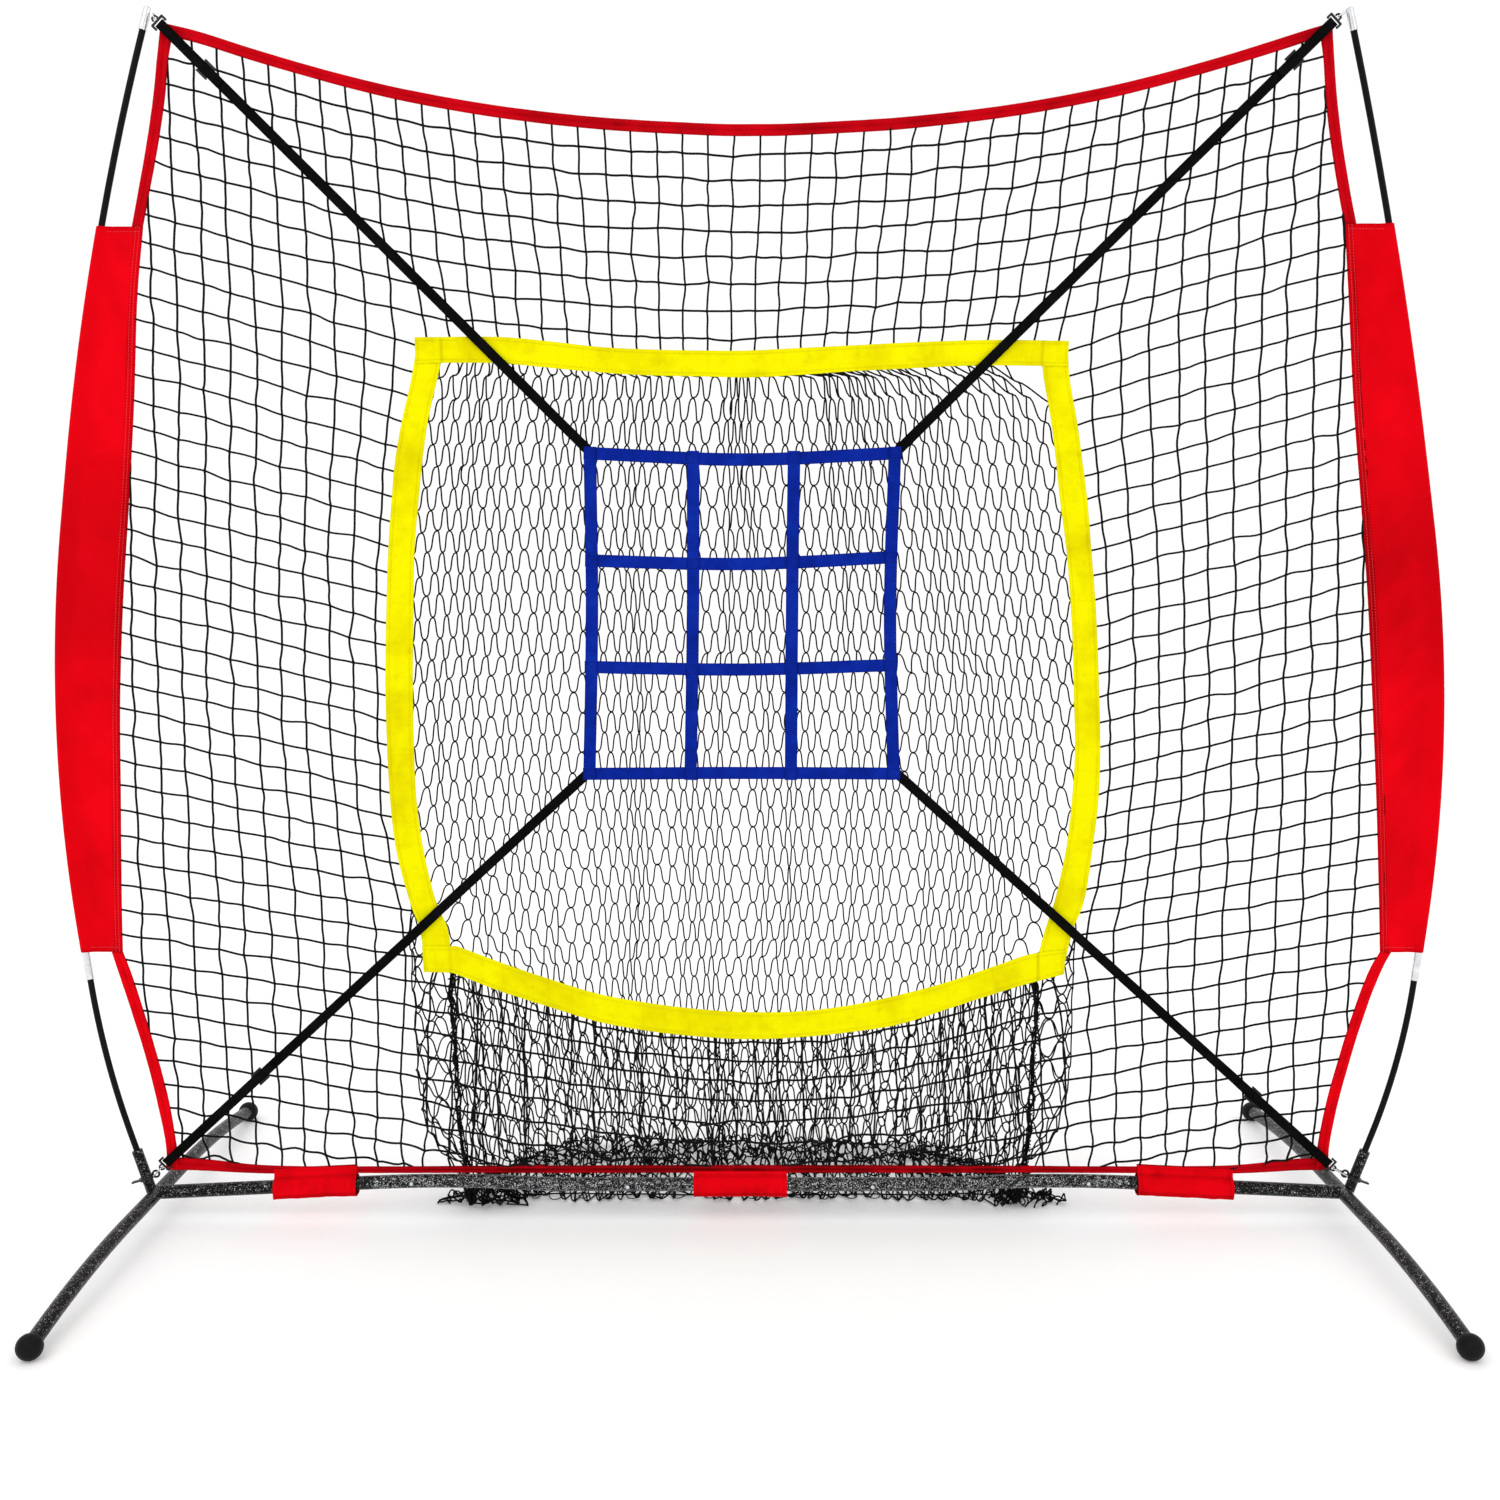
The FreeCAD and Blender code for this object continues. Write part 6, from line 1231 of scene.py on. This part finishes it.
def section(r):
    """The cloth's line across at row r, from the left edge to the right."""
    if r <= 38:
        s = min(r * 40.4, prof_s[-1])
        yb_, zb_ = np.interp(s, prof_s, prof[:, 0]), np.interp(s, prof_s, prof[:, 1])
        EL, ER = (band_at("left", r / CORNER), band_at("right", r / CORNER)) if r <= CORNER else (seam_at("left", r - CORNER), seam_at("right", r - CORNER))
        W = ER[0] - EL[0]
        out = np.interp(r, [0, 12, 18, 23, 28, 33, 38], [0, 0, 10, 44, 112, 140, 122])
        back = [(0.00, 0.0, 0.0, 0.0), (0.0, 0.70, 0.10, 0.1), (0.0, 1.0, 0.26, 0.25), (0.025, 0.80, 0.46, 0.45), (0.09, 0.30, 0.70, 0.70), (0.20, 0.0, 0.90, 0.90), (0.35, 0.0, 0.98, 0.98), (0.5, 0.0, 1.0, 1.0)]
        pts = []
        for f, b, gy, gz in back:
            pts.append((EL[0] + f * W - out * b, EL[1] + (yb_ - EL[1]) * gy, EL[2] + (zb_ - EL[2]) * gz))
        for f, b, gy, gz in back[-2::-1]:
            pts.append((ER[0] - f * W + out * b, ER[1] + (yb_ - ER[1]) * gy, ER[2] + (zb_ - ER[2]) * gz))
        return smooth_line(np.array(pts), 8.0)
    if r <= 53:
        q = (r - 38) / 15.0
        yb_ = np.interp(r, [38, 41, 44, 47, 50, 53], [402.0, 352.0, 300.0, 250.0, 190.0, 80.0]) + 9.0 * math.sin(r * 2.3)
        up = 1 if r % 2 else 0
        m = r - CORNER if r <= 46 else ROWS - r
        EL, ER = seam_at("left", m), seam_at("right", m)
        pts = []
        for f in np.linspace(0, 1, 25):
            bulge = math.sin(math.pi * min(f, 1 - f) / 0.16) * 70.0 * (1 - q) if min(f, 1 - f) < 0.16 else 0.0
            side = -1 if f < 0.5 else 1
            t = min(1.0, min(f, 1 - f) / 0.17)
            t = t * t * (3 - 2 * t)
            wave = 12.0 * math.sin(f * 21.0 + r * 1.3) + 9.0 * math.sin(f * 43.0 - r * 2.1)
            heap = (0.6 + 0.4 * math.sin(f * 17.0 + r * 0.8) * math.sin(f * 33.0 - r * 0.5)) * math.sin(math.pi * min(max((f - 0.12) / 0.76, 0.0), 1.0)) ** 0.8
            zb_ = 3.0 + up * heap * np.interp(r, [38, 40, 43, 47, 50, 53], [10.0, 28.0, 34.0, 22.0, 7.0, 3.0]) + (1 - up) * heap * np.interp(r, [38, 41, 45, 49], [0.0, 10.0, 8.0, 0.0])
            E = EL if f < 0.5 else ER
            pts.append((EL[0] * (1 - f) + ER[0] * f + side * bulge, E[1] * (1 - t) + (yb_ + wave) * t, max(E[2] * (1 - t) + zb_ * t, ground)))
        return smooth_line(np.array(pts), 8.0)
    q = (r - 53) / (ROWS - 53.0)
    m = ROWS - r
    EL, ER = seam_at("left", m), seam_at("right", m)
    pts = []
    for f in np.linspace(0, 1, 17):
        x = EL[0] * (1 - f) + ER[0] * f
        tie = np.interp(x, yb_line[:, 0], yb_line[:, 1])
        t = min(1.0, min(f, 1 - f) / 0.10)
        E = EL if f < 0.5 else ER
        y = 24.0 + 50.0 * (1 - q) ** 3 + 7.0 * math.sin(f * 25.0 + 1.0) * math.sin(math.pi * q)
        z = 4.0 + (tie - 4.0) * q
        pts.append((x, E[1] * (1 - t) + y * t, E[2] * (1 - t) + z * t))
    return smooth_line(np.array(pts), 8.0)


pos = np.zeros((total, 3))
for r in range(ROWS + 1):
    line = section(r)
    s = np.concatenate([[0], np.cumsum(np.linalg.norm(np.diff(line, axis=0), axis=1))])
    k = slice(starts[r], starts[r + 1])
    # mostly even as seen from the front, so that the side walls open wider than the back
    fx = (line[:, 0] - line[0, 0]) / (line[-1, 0] - line[0, 0])
    key = 0.5 * s / s[-1] + 0.5 * np.maximum.accumulate(np.clip(fx, 0, 1))
    key = (key - key[0]) / (key[-1] - key[0])
    for c in range(3):
        pos[k, c] = np.interp(share_of[k], key, line[:, c])

pinned = np.zeros(total, bool)
g = np.random.default_rng(31)
k0 = np.arange(starts[0], starts[1])
f0 = share_of[k0]
top_tie = at_share([(p[0], p[1] + 6.0) for p in YT_IN[1:-1]], f0)
pos[k0] = np.stack([top_tie[:, 0], np.full(len(k0), 1.8), top_tie[:, 1]], axis=1)
pinned[k0] = True
for r in range(2, CORNER + 1, 2):
    for node, name in ((starts[r], "left"), (starts[r + 1] - 1, "right")):
        pos[node] = band_at(name, r / CORNER * 0.985 + 0.008)
        pinned[node] = True
kl = np.arange(starts[ROWS], starts[ROWS + 1])
bot_tie = at_share([(p[0], p[1] - 8.0) for p in YB_IN[1:-1]], share_of[kl])
pos[kl] = np.stack([bot_tie[:, 0], np.full(len(kl), 2.0), bot_tie[:, 1]], axis=1)
pinned[kl] = True
pos[starts[CORNER]], pos[starts[CORNER + 1] - 1] = pos[kl[0]], pos[kl[-1]]
seam = []
for m_ in range(2, (ROWS - CORNER) // 2 + 1, 2):
    a, b = CORNER + m_, ROWS - m_
    if a < b:
        seam += [(starts[a], starts[b]), (starts[a + 1] - 1, starts[b + 1] - 1)]
seam = np.array(seam)
for j_, (a, b) in enumerate(seam):
    pos[a] = pos[b] = seam_at("left" if j_ % 2 == 0 else "right", row_of[a] - CORNER)
rnd = np.random.default_rng(33)
low_rows = (row_of > 38)[:, None]
pos[~pinned] += (rnd.normal(0, 1.5, (total, 3)) + low_rows * rnd.normal(0, 4.0, (total, 3)) * [1, 1, 0.6])[~pinned]

weight = np.where(pinned, 0.0, 1.0)
deg = np.bincount(edges_.ravel(), minlength=total).astype(float)
goal = pos.copy()
hold = np.interp(row_of, [0, 28, 36, 39, 42, 46, 50, 56, 64], [0.30, 0.30, 0.16, 0.06, 0.20, 0.20, 0.03, 0.10, 0.12])
hold = np.where(pinned, 0.0, hold)
steps = 260
prev = pos.copy()
gsag = np.array([0.0, 0.0, -0.5])
pocket_lo, pocket_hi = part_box("catch_pocket")
X0, X1 = pocket_lo[0] / MM - 16.0, pocket_hi[0] / MM + 16.0
Y1 = pocket_hi[1] / MM - 2.0
ea, eb = edges_[:, 0], edges_[:, 1]
na, nb = neigh[:, 0], neigh[:, 1]
# neighbours along a row keep the spacing that the column has
rest_gap = np.linalg.norm(goal[nb] - goal[na], axis=1)
for step in range(steps):
    vel = (pos - prev) * 0.88
    prev = pos.copy()
    pos = pos + (vel + gsag) * weight[:, None]
    pos += (goal - pos) * hold[:, None]
    for _ in range(6):
        d = pos[eb] - pos[ea]
        ln = np.linalg.norm(d, axis=1) + 1e-9
        over = np.where(ln > STRAND, ln - STRAND, np.where(ln < 14.0, (ln - 14.0) * 0.3, 0.0))
        w = weight[ea] + weight[eb]
        c = (d / ln[:, None]) * (over / np.maximum(w, 1e-6))[:, None]
        move = np.zeros_like(pos)
        for ax in range(3):
            move[:, ax] = np.bincount(ea, c[:, ax] * weight[ea], total) - np.bincount(eb, c[:, ax] * weight[eb], total)
        pos += move / np.maximum(deg, 1)[:, None] * 1.7
        d = pos[nb] - pos[na]
        ln = np.linalg.norm(d, axis=1) + 1e-9
        want = np.where(ln < rest_gap * 0.8, (ln - rest_gap * 0.8) * 0.2, np.where(ln > rest_gap * 1.15, (ln - rest_gap * 1.15) * 0.1, 0.0))
        c = (d / ln[:, None]) * (want * 0.5)[:, None]
        move = np.zeros_like(pos)
        for ax in range(3):
            move[:, ax] = np.bincount(na, c[:, ax], total) - np.bincount(nb, c[:, ax], total)
        pos += move * weight[:, None]
        mid_ = (pos[seam[:, 0]] + pos[seam[:, 1]]) / 2
        pos[seam[:, 0]] = pos[seam[:, 1]] = mid_
        pos[:, 2] = np.maximum(pos[:, 2], ground)
        near = np.where(pos[:, 2] < 24, 30.0, np.where(pos[:, 2] < 112, 19.4, 5.0))
        pos[:, 1] = np.where(pinned, pos[:, 1], np.clip(pos[:, 1], near, Y1))
        pos[:, 0] = np.clip(pos[:, 0], X0, X1)
    on_ground = pos[:, 2] <= ground + 0.5
    prev[on_ground, :2] = pos[on_ground, :2] - (pos[on_ground, :2] - prev[on_ground, :2]) * 0.4
pos_ok = np.isfinite(pos).all()
if not pos_ok:
    raise SystemExit("the pocket's mesh didn't settle")


def pocket_strands(A, B, rows, seed, curl=1.0):
    """Each strand leaves its knots sideways, so that a diamond reads as a soft S; spare length curls."""
    g = np.random.default_rng(seed)
    d = B - A
    ln = np.linalg.norm(d, axis=1, keepdims=True) + 1e-9
    n_ = len(A)
    vert = np.abs(d[:, 2:3]) / ln
    side = np.stack([d[:, 0], d[:, 1], np.zeros(n_)], axis=1)
    sl = np.linalg.norm(side, axis=1, keepdims=True) + 1e-6
    lateral = side * np.where(vert > 0.6, 0.74, 0.45)
    lateral *= np.minimum(1.0, 26.0 / sl)
    down = d - side
    perp = np.stack([-d[:, 1], d[:, 0], np.zeros(n_)], axis=1)
    perp /= np.linalg.norm(perp, axis=1, keepdims=True) + 1e-9
    slackv = np.clip(STRAND - ln, 0, 34)
    loose = (np.asarray(rows)[:, None] > 38) * 1.0
    bow = g.normal(0, 0.030, (n_, 1)) * ln
    droop = np.array([[0, 0, -1.0]]) * slackv * 0.12 * (1 - loose)
    kick = perp * g.normal(0, 0.30, (n_, 1)) * slackv * curl
    lift = np.array([[0, 0, 1.0]]) * np.abs(g.normal(0, 0.42, (n_, 1))) * slackv * loose
    kick2 = perp * g.normal(0, 0.42, (n_, 1)) * slackv * loose
    P1 = A + lateral + down * 0.02 + droop + kick + lift + kick2
    P2 = B - lateral - down * 0.02 + droop + kick + lift - kick2
    t = np.linspace(0, 1, 8)[None, :, None]
    pts = (1 - t) ** 3 * A[:, None] + 3 * t * (1 - t) ** 2 * P1[:, None] + 3 * t**2 * (1 - t) * P2[:, None] + t**3 * B[:, None]
    pts += perp[:, None] * bow[:, None] * np.sin(math.pi * t)
    pts[:, :, 2] = np.maximum(pts[:, :, 2], 1.4)
    pts[:, :, 1] = np.minimum(np.where((pts[:, :, 2] < 112) & (pts[:, :, 1] < 18.2), 18.2, pts[:, :, 1]), Y1)
    pts[:, :, 1] = np.where(pts[:, :, 2] >= 112, np.maximum(pts[:, :, 1], np.minimum(A[:, None, 1], B[:, None, 1]).clip(1.6, 3.4)), pts[:, :, 1])
    return pts


strands = pocket_strands(pos[ea], pos[eb], row_of[ea], 41)
POCKET_R = 1.55
third = len(strands) // 3
for k, sl in enumerate((slice(0, third), slice(third, 2 * third), slice(2 * third, None))):
    v, f = tubes(strands[sl] * MM, POCKET_R * MM, 5)
    ob = build("catch_pocket_strands_%d" % (k + 1), v, f, MAT["pocket"])
    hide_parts("catch_pocket")
    add(ob)
kr = np.random.default_rng(43).normal(1.0, 0.1, (total, 1)) * np.array([[2.0, 1.8, 2.1]])
v, f = blobs(pos * MM, kr * MM, 6, 4)
ob = build("catch_pocket_knots", v, f, MAT["pocket"])
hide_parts("catch_pocket")
add(ob)

# corner seams: both layers' edge knots laced together, with the gathered meshes hanging beside them
laces = []
for e_ in (0, 1):
    s_ = -1 if e_ == 0 else 1
    nodes_ = [starts[CORNER] if e_ == 0 else starts[CORNER + 1] - 1] + [q_[0] for q_ in seam[e_::2]]
    line = smooth_line(pos[nodes_], 7.0)
    gg = np.random.default_rng(71 + e_)
    for strand_ in range(5):
        off = np.stack([value_noise(np.arange(len(line)) * 0.22 + 31 * strand_, 91 + e_, 2) * 7.0, value_noise(np.arange(len(line)) * 0.25 + 17 * strand_, 93 + e_, 2) * 6.0 + 4.0, np.zeros(len(line))], axis=1)
        off[0] *= 0.2
        l2 = line + off
        l2[:, 2] = np.maximum(l2[:, 2], 2.4)
        l2[:, 1] = np.maximum(l2[:, 1], 19.4)
        l2[0, 1] = 4.0
        l2[1, 1] = 9.0
        laces.append(tubes(l2[None] * MM, (1.5 if strand_ else 2.0) * MM, 6))
    for k in range(3, len(line) - 2, 2):
        c_ = line[k]
        th = np.linspace(0, 2 * math.pi, 9)
        rx_, ry_ = gg.uniform(3.5, 7.5), gg.uniform(3.0, 6.0)
        loop_ = np.stack([c_[0] + rx_ * np.cos(th), c_[1] + 4 + ry_ * np.sin(th), c_[2] + np.linspace(-4.0, 5.0, 9)], axis=1)
        loop_[:, 2] = np.maximum(loop_[:, 2], 1.5)
        loop_[:, 1] = np.maximum(loop_[:, 1], 18.6)
        laces.append(tubes(loop_[None] * MM, 1.05 * MM, 5))
v, f = joined(laces)
ob = build("catch_pocket_corner_lacing", v, f, MAT["pocket"])
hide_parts("catch_pocket")
add(ob)

# spare net bunched on the ground in front of the pocket's corners, and the selvage with its tie loops
bunch = []
gg = np.random.default_rng(81)
for cx_, wx, cy_, wy, hz, n_r, n_c in ((-505.0, 86.0, 78.0, 36.0, 26.0, 6, 9), (528.0, 68.0, 80.0, 32.0, 22.0, 6, 8)):
    k_ = np.zeros((n_r, n_c, 3))
    for a in range(n_r):
        for b in range(n_c):
            u_, v_ = b / (n_c - 1.0), a / (n_r - 1.0)
            fold = math.sin(u_ * 9.0 + v_ * 4.0) * 0.16 + math.sin(u_ * 17.0 - v_ * 7.0) * 0.08
            k_[a, b] = (cx_ + (2 * u_ - 1) * wx * (0.8 + 0.2 * math.sin(v_ * 7.0)), cy_ + (2 * v_ - 1 + fold) * wy * math.sqrt(max(1 - (2 * u_ - 1) ** 2 * 0.75, 0.1)), 3.0 + abs(math.sin(u_ * 8.0 + a * 2.2)) * hz * (1 - abs(2 * u_ - 1) ** 2) * (1 - 0.7 * abs(2 * v_ - 1)))
    k_ += gg.normal(0, 5.5, k_.shape)
    k_[:, :, 2] = np.maximum(k_[:, :, 2], 2.4)
    k_[:, :, 1] = np.maximum(k_[:, :, 1], 34.0)
    A_, B_ = [], []
    for a in range(n_r - 1):
        for b in range(n_c):
            for b2 in ((b - 1, b) if a % 2 else (b, b + 1)):
                if 0 <= b2 < n_c:
                    A_.append(k_[a, b])
                    B_.append(k_[a + 1, b2])
    A_, B_ = np.array(A_), np.array(B_)
    p_ = pocket_strands(A_, B_, np.full(len(A_), 45), 83, 0.8)
    bunch.append(tubes(p_ * MM, POCKET_R * MM, 5))
    bunch.append(blobs(k_.reshape(-1, 3) * MM, np.array([2.0, 1.8, 2.0]) * MM, 6, 4))
xs = np.linspace(-424.0, 470.0, 150)
sel = np.stack([xs, 104.0 + value_noise(xs / 60.0 + 40, 611, 2) * 5.0, np.full(150, 2.6) + np.abs(value_noise(xs / 25.0 + 40, 612, 2)) * 1.2], axis=1)
bunch.append(tubes(sel[None] * MM, 1.5 * MM, 6))
loops_ = []
for k, x in enumerate(np.arange(-412.0, 462.0, 46.5)):
    th = np.linspace(0, math.pi, 9)
    w_, h_ = gg.uniform(8.0, 13.0), gg.uniform(18.0, 27.0)
    y0 = 104.0
    loops_.append(np.stack([x + gg.normal(0, 4) + w_ * np.cos(th), y0 - h_ * np.sin(th), np.full(9, 2.2) + 1.5 * np.sin(th)], axis=1))
bunch.append(tubes(np.array(loops_) * MM, 1.05 * MM, 5))
v, f = joined(bunch)
ob = build("catch_pocket_ground_bunch", v, f, MAT["pocket"])
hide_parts("catch_pocket")
add(ob)


# ------------------------------------------------------------------ hard pieces keep their CAD shape
FINISH = (
    ("end_tee", "hammer_shaded"), ("base_bar", "hammer"), ("leg_", "hammer_shaded"), ("pole_socket", "hammer_shaded"), ("tee_hooks", "black_steel"), ("strap_hooks", "black_steel"),
    ("foot_", "rubber"), ("pole_tip", "steel"), ("pole_ferrules", "steel"), ("corner_links", "steel"), ("snap_button", "steel"),
    ("pole_lower", "rod"), ("pole_middle", "rod"), ("pole_upper", "rod"), ("strap_slider", "slider"),
)
for node_name, ob in NODES.items():
    for start, key in FINISH:
        if node_name.startswith(start):
            for sl in ob.material_slots:
                sl.material = MAT[key]
            break

floor_mat = Mat("studio_floor", rough=0.75, spec=0.25)
floor_mat.colour((0.96, 0.96, 0.96))
floor_mat.bsdf.inputs["Emission Color"].default_value = (1.0, 1.0, 1.0, 1.0)
floor_mat.bsdf.inputs["Emission Strength"].default_value = 0.09
bpy.ops.mesh.primitive_plane_add(size=30.0, location=(0.0, 0.0, 0.0))
floor = bpy.context.object
floor.name = "studio_floor"
floor.data.materials.append(floor_mat.mat)
floor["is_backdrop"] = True

lo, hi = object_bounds()
